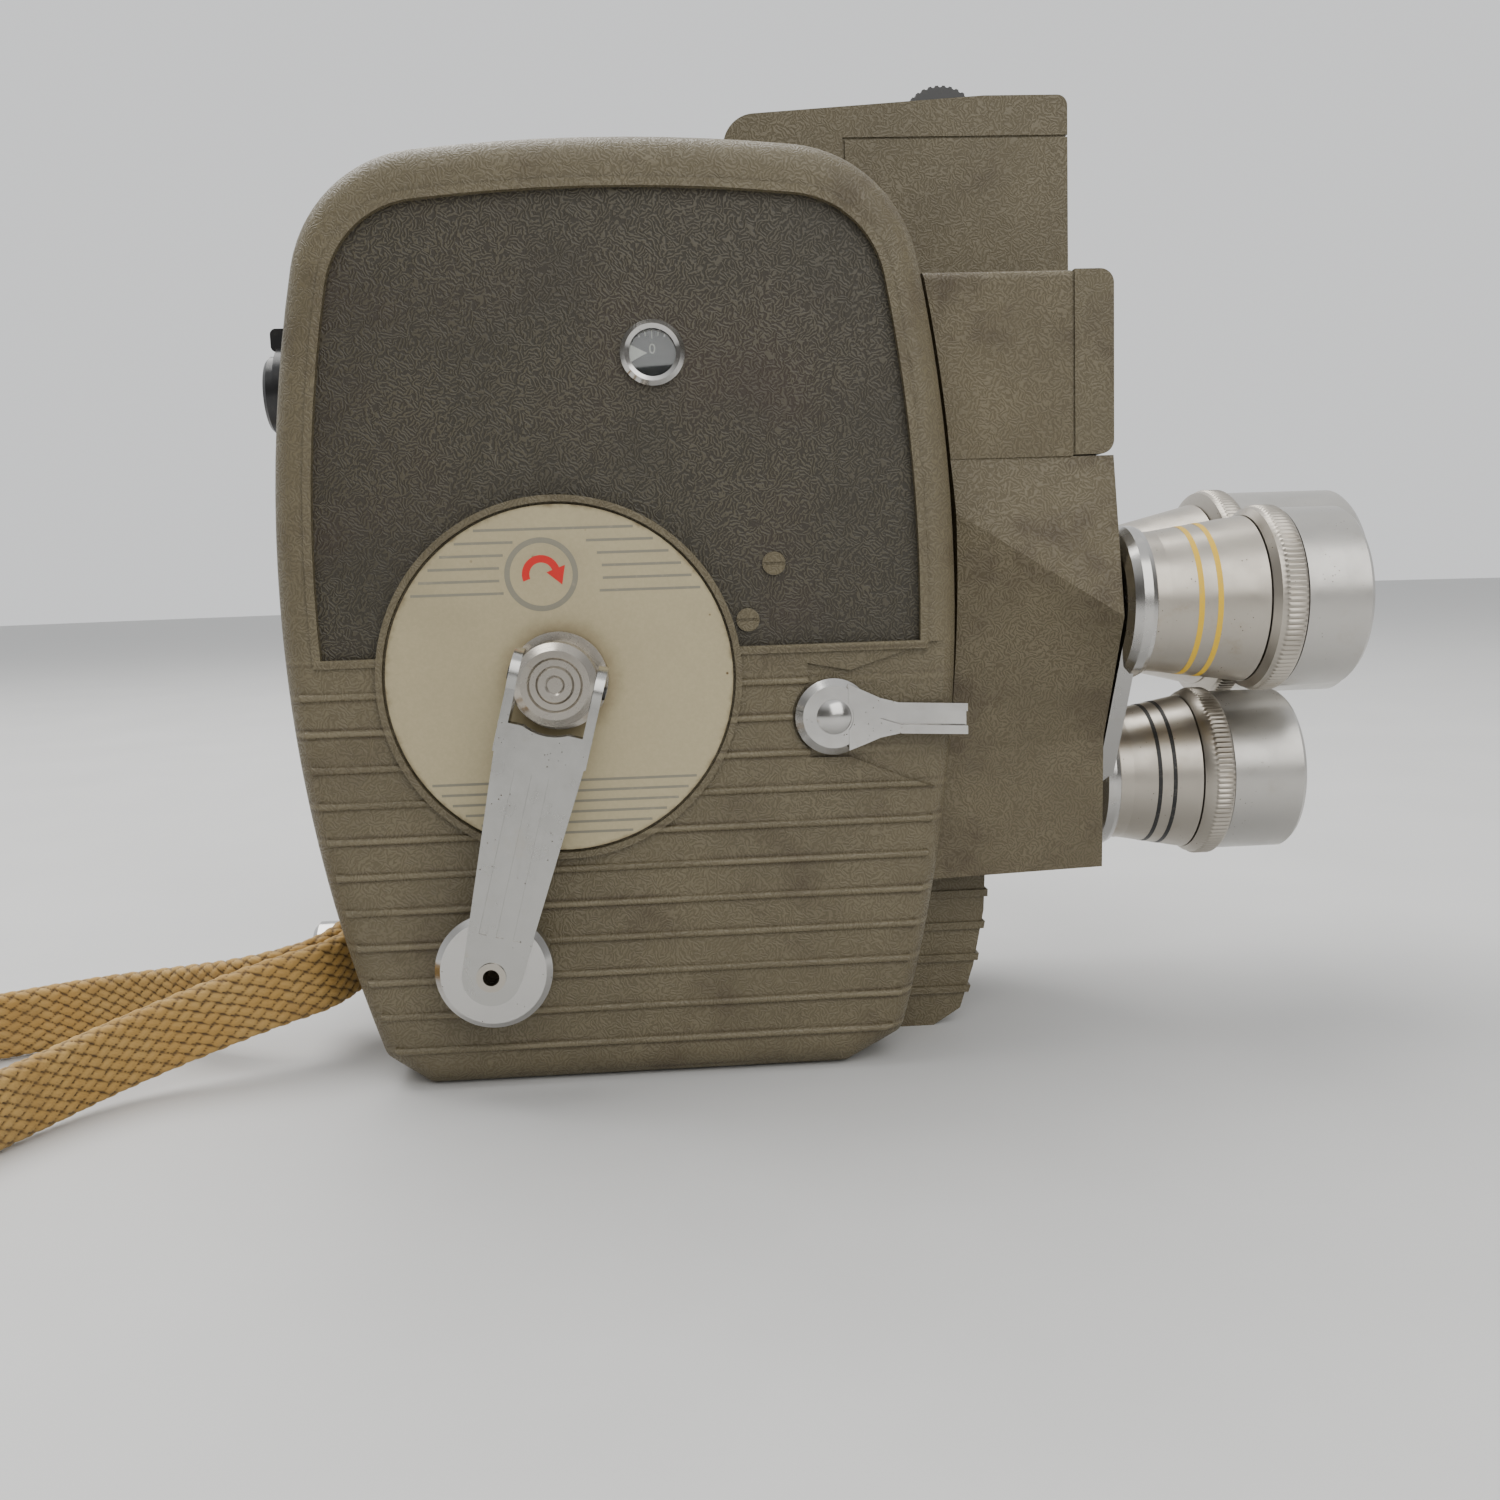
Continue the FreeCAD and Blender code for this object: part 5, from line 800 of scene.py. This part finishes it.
# ---- studio --------------------------------------------------------------------------------
@dataclass
class Studio:
    """Floor, light and camera.

    Attributes:
        eye_mm: The camera's place.
        right: Its right-hand direction.
        up: Its upward direction.
        forward: The way it looks.
        lens_mm: Focal length on a 36 mm sensor.
        floor_reach: Radius of the floor in metres.
        wall_edge: Between these depths of the light's direction, the front's dark turns to the wall's light.
        ceiling_edge: The same for its height.
        dark_side: Colour of the room on the viewer's side.
        light_side: Colour of the wall and ceiling.
    """

    eye_mm: Point = (3.9, -224.8, 70.6)
    right: Point = (0.99726, -0.06654, -0.03222)
    up: Point = (0.04003, 0.11954, 0.99202)
    forward: Point = (0.06215, 0.99060, -0.12187)
    lens_mm: float = 34.32
    floor_reach: float = 4.0
    wall_edge: tuple[float, float] = (-0.45, 0.30)
    ceiling_edge: tuple[float, float] = (0.30, 0.95)
    dark_side: Colour = (0.16, 0.155, 0.15)
    light_side: Colour = (0.93, 0.94, 0.95)

    def camera(self) -> None:
        """Set the scene's camera."""
        data = bpy.data.cameras.new("view")
        data.lens = self.lens_mm
        data.sensor_width = 36.0
        data.clip_start = 0.005
        data.clip_end = 20.0
        camera = bpy.data.objects.new("view", data)
        bpy.context.scene.collection.objects.link(camera)
        turn = Matrix((self.right, self.up, tuple(-c for c in self.forward))).transposed()
        camera.matrix_world = Matrix.Translation(Vector(self.eye_mm) * MM) @ turn.to_4x4()
        bpy.context.scene.camera = camera

    def floor(self) -> None:
        """A wide flat floor under the base."""
        reach = self.floor_reach / MM
        steps = 96
        points = [(0.0, 0.0, 0.0)]
        points += [(reach * math.cos(2 * math.pi * k / steps), reach * math.sin(2 * math.pi * k / steps), 0.0)
                   for k in range(steps)]
        faces = [(0, 1 + k, 1 + (k + 1) % steps) for k in range(steps)]
        shop.make("studio_floor", points, faces, FloorPaint().material())

    def lamp(self, name: str, place: Point, aim: Point, size: float, power: float, colour: Colour) -> None:
        """A soft square lamp that points at a place."""
        data = bpy.data.lights.new(name, "AREA")
        data.shape = "SQUARE"
        data.size = size
        data.energy = power
        data.color = colour
        lamp = bpy.data.objects.new(name, data)
        bpy.context.scene.collection.objects.link(lamp)
        lamp.location = place
        lamp.rotation_euler = (Vector(aim) - Vector(place)).to_track_quat("-Z", "Y").to_euler()

    def light(self) -> None:
        """Soft light from above and behind, with a weak fill from the viewer's side."""
        world = bpy.data.worlds.new("room")
        world.use_nodes = True
        tree = world.node_tree
        background = tree.nodes["Background"]
        split = tree.nodes.new("ShaderNodeSeparateXYZ")
        tree.links.new(tree.nodes.new("ShaderNodeTexCoord").outputs["Generated"], split.inputs[0])
        lit = []
        for output, (low, high) in ((split.outputs[1], self.wall_edge), (split.outputs[2], self.ceiling_edge)):
            node = tree.nodes.new("ShaderNodeMapRange")
            node.interpolation_type = "SMOOTHSTEP"
            tree.links.new(output, node.inputs["Value"])
            node.inputs["From Min"].default_value = low
            node.inputs["From Max"].default_value = high
            lit.append(node.outputs[0])
        either = tree.nodes.new("ShaderNodeMath")
        either.operation = "MAXIMUM"
        mix = tree.nodes.new("ShaderNodeMix")
        mix.data_type = "RGBA"
        for k, value in enumerate(lit):
            tree.links.new(value, either.inputs[k])
        tree.links.new(either.outputs[0], mix.inputs[0])
        mix.inputs[6].default_value = (*self.dark_side, 1.0)
        mix.inputs[7].default_value = (*self.light_side, 1.0)
        tree.links.new(mix.outputs[2], background.inputs[0])
        background.inputs[1].default_value = 1.0
        bpy.context.scene.world = world
        self.lamp("overhead", (-0.25, 0.30, 0.95), (0.0, 0.0, 0.05), 0.9, 12.0, (1.0, 0.985, 0.96))
        self.lamp("front_fill", (0.35, -0.95, 0.75), (0.0, 0.0, 0.06), 1.1, 9.5, (1.0, 0.99, 0.97))

    def build(self) -> None:
        """Make the whole studio."""
        self.camera()
        self.floor()
        self.light()


# ---- strap ---------------------------------------------------------------------------------
@dataclass
class WristStrap:
    """Flat braided strap, laid on its edge, with both ends in layers under the strap screw.

    Attributes:
        width: Width of the braid.
        thickness: Thickness of the braid.
        plaits_round: Number of plaits round the braid.
        plait_length: Length of one plait along the braid.
        relief: Height of a plait.
        length: Length of the middle line; not used.
        steps_round: Corners round the braid.
        route: The given points that the strap's middle line follows.
    """

    width: float = 10.0
    thickness: float = 2.6
    plaits_round: int = 12
    plait_length: float = 3.1
    relief: float = 0.42
    length: float = 316.4
    steps_round: int = 96
    route: tuple[Point, ...] = (
        (-46.3, 3.0, 14.2), (-46.3, -10.5, 14.0), (-57.5, -12.5, 11.3), (-73.0, -2.0, 7.6), (-88.0, 2.0, 5.5),
        (-103.0, -6.5, 5.2), (-123.0, -14.0, 5.2), (-142.0, -29.0, 5.2), (-152.0, -51.0, 5.2), (-146.0, -74.0, 5.2),
        (-125.0, -85.0, 5.2), (-103.0, -77.0, 5.2), (-90.5, -59.0, 5.2), (-82.6, -40.6, 5.2), (-72.5, -24.0, 6.9),
        (-55.5, -17.8, 11.9), (-43.6, -12.5, 14.0), (-43.6, 2.5, 14.2),
    )

    def centreline(self) -> list[Vector]:
        """Points along the strap's smooth middle line, in millimetres."""
        data = bpy.data.curves.new("strap_line", "CURVE")
        data.dimensions = "3D"
        spline = data.splines.new("NURBS")
        spline.points.add(len(self.route) - 1)
        for point, place in zip(spline.points, self.route):
            point.co = (*(c * MM for c in place), 1.0)
        spline.order_u = 3
        spline.use_endpoint_u = True
        data.resolution_u = 60
        line = bpy.data.objects.new("strap_line", data)
        bpy.context.scene.collection.objects.link(line)
        mesh = bpy.data.meshes.new_from_object(line)
        points = [vertex.co / MM for vertex in mesh.vertices]
        bpy.data.objects.remove(line)
        return points

    def section(self) -> list[tuple[float, float, float, float]]:
        """The braid's rounded section, as (thickness way, width way, and the outward normal's two parts)."""
        half_t, half_w = self.thickness / 2 - self.relief / 2, self.width / 2 - self.relief / 2
        flat = half_w - half_t
        arc = math.pi * half_t
        total = 2 * (2 * flat + arc)
        ring = []
        for k in range(self.steps_round):
            c = total * k / self.steps_round
            if c < 2 * flat:
                ring.append((half_t, -flat + c, 1.0, 0.0))
            elif c < 2 * flat + arc:
                a = (c - 2 * flat) / half_t
                ring.append((half_t * math.cos(a), flat + half_t * math.sin(a), math.cos(a), math.sin(a)))
            elif c < 4 * flat + arc:
                ring.append((-half_t, flat - (c - 2 * flat - arc), -1.0, 0.0))
            else:
                a = math.pi + (c - 4 * flat - arc) / half_t
                ring.append((half_t * math.cos(a), -flat + half_t * math.sin(a), math.cos(a), math.sin(a)))
        return ring

    def plait(self, along: float, turn: float) -> tuple[float, float]:
        """Height of the braid and of its yarns at a place on its surface.

        Args:
            along: Distance along the strap.
            turn: Part of the way round the braid, 0 to 1.

        Returns:
            The plait's height and the yarn's height, each 0 to 1.
        """
        first = along / self.plait_length + turn * self.plaits_round
        second = along / self.plait_length - turn * self.plaits_round
        over = (math.floor(first) + math.floor(second)) % 2 == 0
        across, down = (first, second) if over else (second, first)
        across, down = across % 1.0, down % 1.0
        crown = max(0.0, 1.0 - abs(2 * across - 1) ** 2.6) * (0.62 + 0.38 * math.sin(math.pi * down))
        yarn = abs(math.sin(math.pi * 3.0 * across))
        return crown, yarn

    def build(self, finishes: Finishes) -> None:
        line = self.centreline()
        ring = self.section()
        points, faces, plaits, yarns = [], [], [], []
        along = 0.0
        for k, here in enumerate(line):
            ahead = line[min(k + 1, len(line) - 1)] - line[max(k - 1, 0)]
            tangent = ahead.normalized()
            across = (Vector((0, 0, 1)) - tangent * tangent.z).normalized()
            out = across.cross(tangent).normalized()
            if k:
                along += (here - line[k - 1]).length
            for j, (t, w, nt, nw) in enumerate(ring):
                crown, yarn = self.plait(along, j / len(ring))
                lift = self.relief * (crown + 0.16 * yarn * crown) * 0.86
                points.append(here + out * (t + nt * lift) + across * (w + nw * lift))
                plaits.append(crown)
                yarns.append(yarn)
        count = len(ring)
        for k in range(len(line) - 1):
            for j in range(count):
                after = (j + 1) % count
                faces.append((k * count + j, k * count + after, (k + 1) * count + after, (k + 1) * count + j))
        faces.append(tuple(range(count)))
        faces.append(tuple(range(len(points) - 1, len(points) - 1 - count, -1)))
        strap = shop.make("wrist_strap", points, faces, finishes.braid, 80.0)
        # These heights also drive the braid's painted crevice shade.
        for name, values in (("plait", plaits), ("yarn", yarns)):
            strap.data.attributes.new(name, "FLOAT", "POINT").data.foreach_set("value", values)
        shop.outward(strap)
        shop.seat(strap, "camera", "strap_braid", ["strap"])
        shop.dress(finishes.chrome, "strap_screw", "strap_washer")


# ---- winding side --------------------------------------------------------------------------
@dataclass
class MotorCover:
    """The drawn cover with its sunk panel, ribs and painted screws."""

    nodes: tuple[str, ...] = ("motor_cover", "cover_screws")

    def dress(self, finishes: Finishes) -> None:
        """Give the cover and its screws their enamel."""
        shop.dress(finishes.cover, *self.nodes)


@dataclass
class WindingPlate:
    """The plate behind the key, with its printed lines, ring and winding arrow.

    Attributes:
        centre: The plate's centre, as (x, z).
        face_y: Y of the plate's face.
        radius: The plate's radius.
        line: Width of a printed line.
        ring_centre: Centre of the printed ring, from the plate's centre.
        ring_radius: Radius of the printed ring's middle.
    """

    centre: tuple[float, float] = (-9.4, 57.2)
    face_y: float = -28.3
    radius: float = 23.65
    line: float = 0.36
    ring_centre: tuple[float, float] = (-1.9, 14.3)
    ring_radius: float = 4.6
    ring_width: float = 0.75
    high_lines: tuple[float, ...] = (11.9, 13.6, 15.3, 17.0, 18.7, 20.4)
    low_lines: tuple[float, ...] = (-14.0, -15.45, -16.9, -18.35, -19.8, -21.25)

    def strip(self, x0: float, x1: float, height: float) -> list[tuple[float, float]]:
        """One printed line, as an outline about the plate's centre."""
        cx, cz = self.centre
        half = self.line / 2
        return [(cx + x0, cz + height - half), (cx + x1, cz + height - half),
                (cx + x1, cz + height + half), (cx + x0, cz + height + half)]

    def stripes(self) -> list[list[tuple[float, float]]]:
        """Every printed line, kept inside the plate and clear of the ring."""
        made = []
        for height in self.high_lines:
            reach = math.sqrt(self.radius ** 2 - (abs(height) + 0.3) ** 2) - 0.7
            away = abs(height - self.ring_centre[1])
            room = math.sqrt(max(0.0, (self.ring_radius + 1.1) ** 2 - away ** 2))
            left = self.ring_centre[0] - room
            right = self.ring_centre[0] + max(room, 0.0) + (2.6 if room else 0.0)
            if room == 0.0:
                made.append(self.strip(-reach, reach, height))
                continue
            made.append(self.strip(-reach, left, height))
            if right < reach:
                made.append(self.strip(right, reach, height))
        for height in self.low_lines:
            reach = math.sqrt(self.radius ** 2 - (abs(height) + 0.3) ** 2) - 0.7
            made.append(self.strip(-reach, reach, height))
        return made

    def arc(self, radius: float, width: float, start: float, end: float, steps: int) -> list[list[tuple[float, float]]]:
        """A printed arc about the ring's centre, as short quads."""
        cx, cz = self.centre[0] + self.ring_centre[0], self.centre[1] + self.ring_centre[1]
        quads = []
        for k in range(steps):
            a = math.radians(start + (end - start) * k / steps)
            b = math.radians(start + (end - start) * (k + 1) / steps)
            inner, outer = radius - width / 2, radius + width / 2
            quads.append([(cx + inner * math.cos(a), cz + inner * math.sin(a)),
                          (cx + outer * math.cos(a), cz + outer * math.sin(a)),
                          (cx + outer * math.cos(b), cz + outer * math.sin(b)),
                          (cx + inner * math.cos(b), cz + inner * math.sin(b))])
        return quads

    def arrow(self) -> list[list[tuple[float, float]]]:
        """A red winding arrow: a curved shaft with a plain triangular head."""
        quads = self.arc(2.1, 1.0, 200, 20, 20)
        cx, cz = self.centre[0] + self.ring_centre[0], self.centre[1] + self.ring_centre[1]
        a = math.radians(20)
        out = (math.cos(a), math.sin(a))
        on = (math.sin(a), -math.cos(a))
        quads.append([(cx + 0.75 * out[0], cz + 0.75 * out[1]), (cx + 3.45 * out[0], cz + 3.45 * out[1]),
                      (cx + 2.1 * out[0] + 2.3 * on[0], cz + 2.1 * out[1] + 2.3 * on[1])])
        return quads

    def build(self, finishes: Finishes) -> None:
        """Make the print and dress the plate."""
        front, back = self.face_y - 0.02, self.face_y + 0.02
        ring = self.arc(self.ring_radius, self.ring_width, 0, 360, 72)
        shop.seat(shop.slab("plate_lines", self.stripes(), front, back, finishes.grey_ink), "camera", "cream_plate")
        shop.seat(shop.slab("plate_ring", ring, front, back, finishes.grey_ink), "camera", "cream_plate")
        shop.seat(shop.slab("winding_arrow", self.arrow(), front - 0.005, back, finishes.red_ink), "camera", "cream_plate")
        shop.dress(finishes.plate, "winding_plate")


@dataclass
class CrankSet:
    """Key hub, folding crank, hinge pins, knob and rivet."""

    def dress(self, finishes: Finishes) -> None:
        """Give the set its metals."""
        shop.dress(finishes.hub, "key_hub", "knob_rivet")
        shop.dress(finishes.black_metal, "crank_pins")
        shop.dress(finishes.crank, "crank_arm")
        shop.dress(finishes.chrome, "crank_knob")
        shop.dress(finishes.steel, "winding_arbor")


@dataclass
class RunLever:
    """The run lever and its domed screw."""

    def dress(self, finishes: Finishes) -> None:
        """Give the lever its chrome."""
        shop.dress(finishes.chrome, "release_lever", "lever_screw")


@dataclass
class FootageCounter:
    """Window ring, glass, numbered dial and pointer.

    Attributes:
        window: The window's centre, as (x, z).
        dial_centre: The dial's centre, as (x, z).
        dial_y: Y of the dial's face.
        numeral_radius: Distance of the numbers from the dial's centre.
        numerals: The numbers, in feet.
    """

    window: tuple[float, float] = (4.9, 100.5)
    dial_centre: tuple[float, float] = (4.9, 94.9)
    dial_y: float = -25.7
    numeral_radius: float = 6.3
    numeral_size: float = 1.9
    numerals: tuple[str, ...] = ("0", "5", "10", "15", "20", "25")

    def number(self, text: str, turn: float) -> bpy.types.Object:
        """One printed number as a mesh, upright at the window when its turn is 0."""
        data = bpy.data.curves.new("number_" + text, "FONT")
        data.body = text
        data.size = self.numeral_size * MM
        data.align_x = "CENTER"
        data.align_y = "CENTER"
        data.extrude = 0.01 * MM
        letter = bpy.data.objects.new("number_source", data)
        bpy.context.scene.collection.objects.link(letter)
        mesh = bpy.data.meshes.new_from_object(letter)
        bpy.data.objects.remove(letter)
        obj = bpy.data.objects.new("dial_number_" + text, mesh)
        bpy.context.scene.collection.objects.link(obj)
        upright = Matrix.Rotation(math.radians(90), 4, "X")
        lift = Matrix.Translation((0, 0, self.numeral_radius * MM))
        spin = Matrix.Rotation(math.radians(turn), 4, "Y")
        home = Matrix.Translation(Vector((self.dial_centre[0], self.dial_y - 0.02, self.dial_centre[1])) * MM)
        obj.data.transform(home @ spin @ lift @ upright)
        return obj

    def ticks(self) -> list[list[tuple[float, float]]]:
        """Short marks round the dial between the numbers."""
        cx, cz = self.dial_centre
        quads = []
        for k in range(60):
            a = math.radians(6 * k)
            inner = 8.1 if k % 5 else 7.7
            side = (0.09 * math.sin(a), -0.09 * math.cos(a))
            near, far = (cx + inner * math.cos(a), cz + inner * math.sin(a)), (cx + 9.0 * math.cos(a), cz + 9.0 * math.sin(a))
            quads.append([(near[0] - side[0], near[1] - side[1]), (far[0] - side[0], far[1] - side[1]),
                          (far[0] + side[0], far[1] + side[1]), (near[0] + side[0], near[1] + side[1])])
        return quads

    def build(self, finishes: Finishes) -> None:
        """Make the numbers, marks and pointer, and dress the rest."""
        for k, text in enumerate(self.numerals):
            obj = self.number(text, 60.0 * k)
            obj.data.materials.clear()
            obj.data.materials.append(finishes.white_ink)
            shop.seat(obj, "counter_dial", "black_metal")
        marks = shop.slab("dial_marks", self.ticks(), self.dial_y - 0.03, self.dial_y + 0.02, finishes.white_ink)
        shop.seat(marks, "counter_dial", "black_metal")
        x, z = self.window
        pointer = shop.slab("counter_pointer", [[(x - 3.1, z + 1.3), (x - 3.1, z - 1.1), (x - 0.7, z + 0.1)]],
                            -26.65, -26.5, finishes.white_ink)
        shop.seat(pointer, "camera", "black_metal")
        shop.dress(finishes.chrome, "counter_bezel")
        shop.dress(finishes.window, "counter_glass")
        shop.dress(finishes.black_metal, "counter_dial")
        shop.dress(finishes.steel, "counter_bracket")


# ---- front ---------------------------------------------------------------------------------
@dataclass
class FrontBlock:
    """Front casting, finder and meter head."""

    def dress(self, finishes: Finishes) -> None:
        """Give the castings their enamel and the finder its glass."""
        shop.dress(finishes.front, "front_casting")
        shop.dress(finishes.enamel, "finder_bezel", "meter_housing", "meter_cap", "main_casting")
        shop.dress(finishes.window, "finder_objective", "meter_window")
        shop.dress(finishes.selenium, "meter_cell")
        shop.dress(finishes.black_metal, "finder_tube", "meter_movement")
        shop.dress(finishes.black_plastic, "setting_wheel")


@dataclass
class TurretLens:
    """One lens of the turret: its barrels, knurled ring, painted lines and glass.

    Attributes:
        name: The lens's name, which starts its nodes' names.
        centre: Its axis, as (y, z).
        ring_bore: Radius of the ring's bore.
        ring_neck: Radius of the ring's rear edge.
        ring_radius: Radius over the knurl.
        barrel_radii: Radius at the taper's foot and neck.
        band_places: Painted lines' distances in front of the turret's face.
        yellow: True for yellow lines, False for black.
        teeth: Number of ridges on the ring.
        tooth: Depth of the knurl.
        ring_air: Gap between the barrel's neck and the ring.
    """

    name: str
    centre: tuple[float, float]
    ring_bore: float
    ring_neck: float
    ring_radius: float
    barrel_radii: tuple[float, float]
    band_places: tuple[float, ...] = ()
    yellow: bool = True
    teeth: int = 104
    tooth: float = 0.24
    ring_air: float = 0.25

    def ring_span(self) -> tuple[float, float]:
        """X of the ring's two faces."""
        low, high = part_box(self.name + "_ring")
        return low.x / MM, high.x / MM

    def seat_x(self) -> float:
        """X of the turret's front face, which the barrel stands on."""
        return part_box("turret_plate")[1].x / MM

    def ring(self, finishes: Finishes) -> None:
        """Replace the plain ring with a knurled one."""
        x0, x1 = self.ring_span()
        smooth_end = x0 + 0.32 * (x1 - x0)
        r = self.ring_radius
        profile = [(x0, self.ring_bore), (x0, self.ring_neck), (x0 + 0.9, r - 0.45), (smooth_end, r - 0.35),
                   (smooth_end + 0.15, r - self.tooth), (smooth_end + 0.4, r), (x1 - 0.45, r), (x1 - 0.15, r - self.tooth),
                   (x1, r - self.tooth - 0.1), (x1, self.ring_bore)]
        cut = {4: 0.3, 5: 1.0, 6: 1.0, 7: 0.3}

        def knurl(corner: int, angle: float) -> float:
            """How far a corner sinks into a groove of the knurl."""
            wave = 0.5 - 0.5 * math.cos(angle * self.teeth)
            return -self.tooth * cut.get(corner, 0.0) * wave ** 1.5

        ring = shop.turned(self.name + "_knurled_ring", profile, Axis.X, self.centre, finishes.barrel,
                           steps=self.teeth * 6, shape=knurl)
        shop.seat(ring, self.name + "_ring", "satin_aluminium", [self.name + "_ring"])

    def radius_at(self, x: float) -> float:
        """Radius of the rear barrel's taper at a place."""
        x0, x1 = self.seat_x() + 2.0, self.ring_span()[0] - self.ring_air
        r0, r1 = self.barrel_radii
        return r0 + (r1 - r0) * (x - x0) / (x1 - x0)

    def bands(self, finishes: Finishes) -> None:
        """Painted lines round the rear barrel."""
        ink = finishes.yellow_ink if self.yellow else finishes.black_ink
        for k, place in enumerate(self.band_places):
            x = self.seat_x() + place
            half = 0.38 if self.yellow else 0.30
            a, b = self.radius_at(x - half), self.radius_at(x + half)
            profile = [(x - half, a - 0.1), (x - half, a + 0.03), (x + half, b + 0.03), (x + half, b - 0.1)]
            band = shop.turned(f"{self.name}_band_{k + 1}", profile, Axis.X, self.centre, ink)
            shop.seat(band, "turret", "satin_aluminium")

    def build(self, finishes: Finishes) -> None:
        """Make the lens's own pieces and dress its nodes."""
        self.ring(finishes)
        self.bands(finishes)
        shop.dress(finishes.barrel, self.name + "_barrel")
        shop.dress(finishes.front_barrel, self.name + "_front")
        shop.dress(finishes.lens, self.name + "_glass")


@dataclass
class Turret:
    """The polished turret, its pivot screw and its three lenses."""

    lenses: tuple[TurretLens, ...] = field(default_factory=lambda: (
        TurretLens("tele_lens", (-16.108, 64.7), 9.85, 12.3, 13.7, (10.3, 12.2), (6.0, 8.6)),
        TurretLens("normal_lens", (0.0, 36.8), 9.85, 12.3, 13.4, (10.3, 12.2), (5.85, 8.05), yellow=False, teeth=100),
        TurretLens("wide_lens", (16.108, 64.7), 12.85, 15.3, 17.6, (10.7, 15.2), teeth=126),
    ))

    def build(self, finishes: Finishes) -> None:
        """Dress the turret and build its lenses."""
        shop.dress(finishes.turret, "turret_plate")
        shop.dress(finishes.chrome, "turret_screw")
        for lens in self.lenses:
            lens.build(finishes)


# ---- rear, far side and inside -------------------------------------------------------------
@dataclass
class RearAndFarSide:
    """Eyepiece, film door, lock and tripod bush."""

    def dress(self, finishes: Finishes) -> None:
        """Give the rear fittings and the door their finishes."""
        shop.dress(finishes.black_plastic, "eyepiece", "focus_tab")
        shop.dress(finishes.window, "eyepiece_lens")
        shop.dress(finishes.enamel, "film_door")
        shop.dress(finishes.chrome, "door_lock")
        shop.dress(finishes.steel, "tripod_bush")


@dataclass
class Mechanism:
    """The clockwork, film path and shutter inside."""

    steel: tuple[str, ...] = ("film_gate", "pressure_plate", "motor_plate", "shutter_bracket", "feed_spindle",
                              "takeup_spindle")
    brass: tuple[str, ...] = ("spring_barrel", "transfer_wheel", "governor")
    black: tuple[str, ...] = ("shutter_disc", "takeup_spool")

    def dress(self, finishes: Finishes) -> None:
        """Give the inner parts their metals."""
        shop.dress(finishes.steel, *self.steel)
        shop.dress(finishes.brass, *self.brass)
        shop.dress(finishes.black_metal, *self.black)


def write_sizes() -> None:
    """Update the view layer."""
    bpy.context.view_layer.update()


def main() -> None:
    """Build the studio and every sub-assembly in order."""
    random.seed(7)
    finishes = Finishes()
    Studio().build()
    WristStrap().build(finishes)
    MotorCover().dress(finishes)
    WindingPlate().build(finishes)
    CrankSet().dress(finishes)
    RunLever().dress(finishes)
    FootageCounter().build(finishes)
    FrontBlock().dress(finishes)
    Turret().build(finishes)
    RearAndFarSide().dress(finishes)
    Mechanism().dress(finishes)
    write_sizes()


if __name__ == "__main__":
    main()
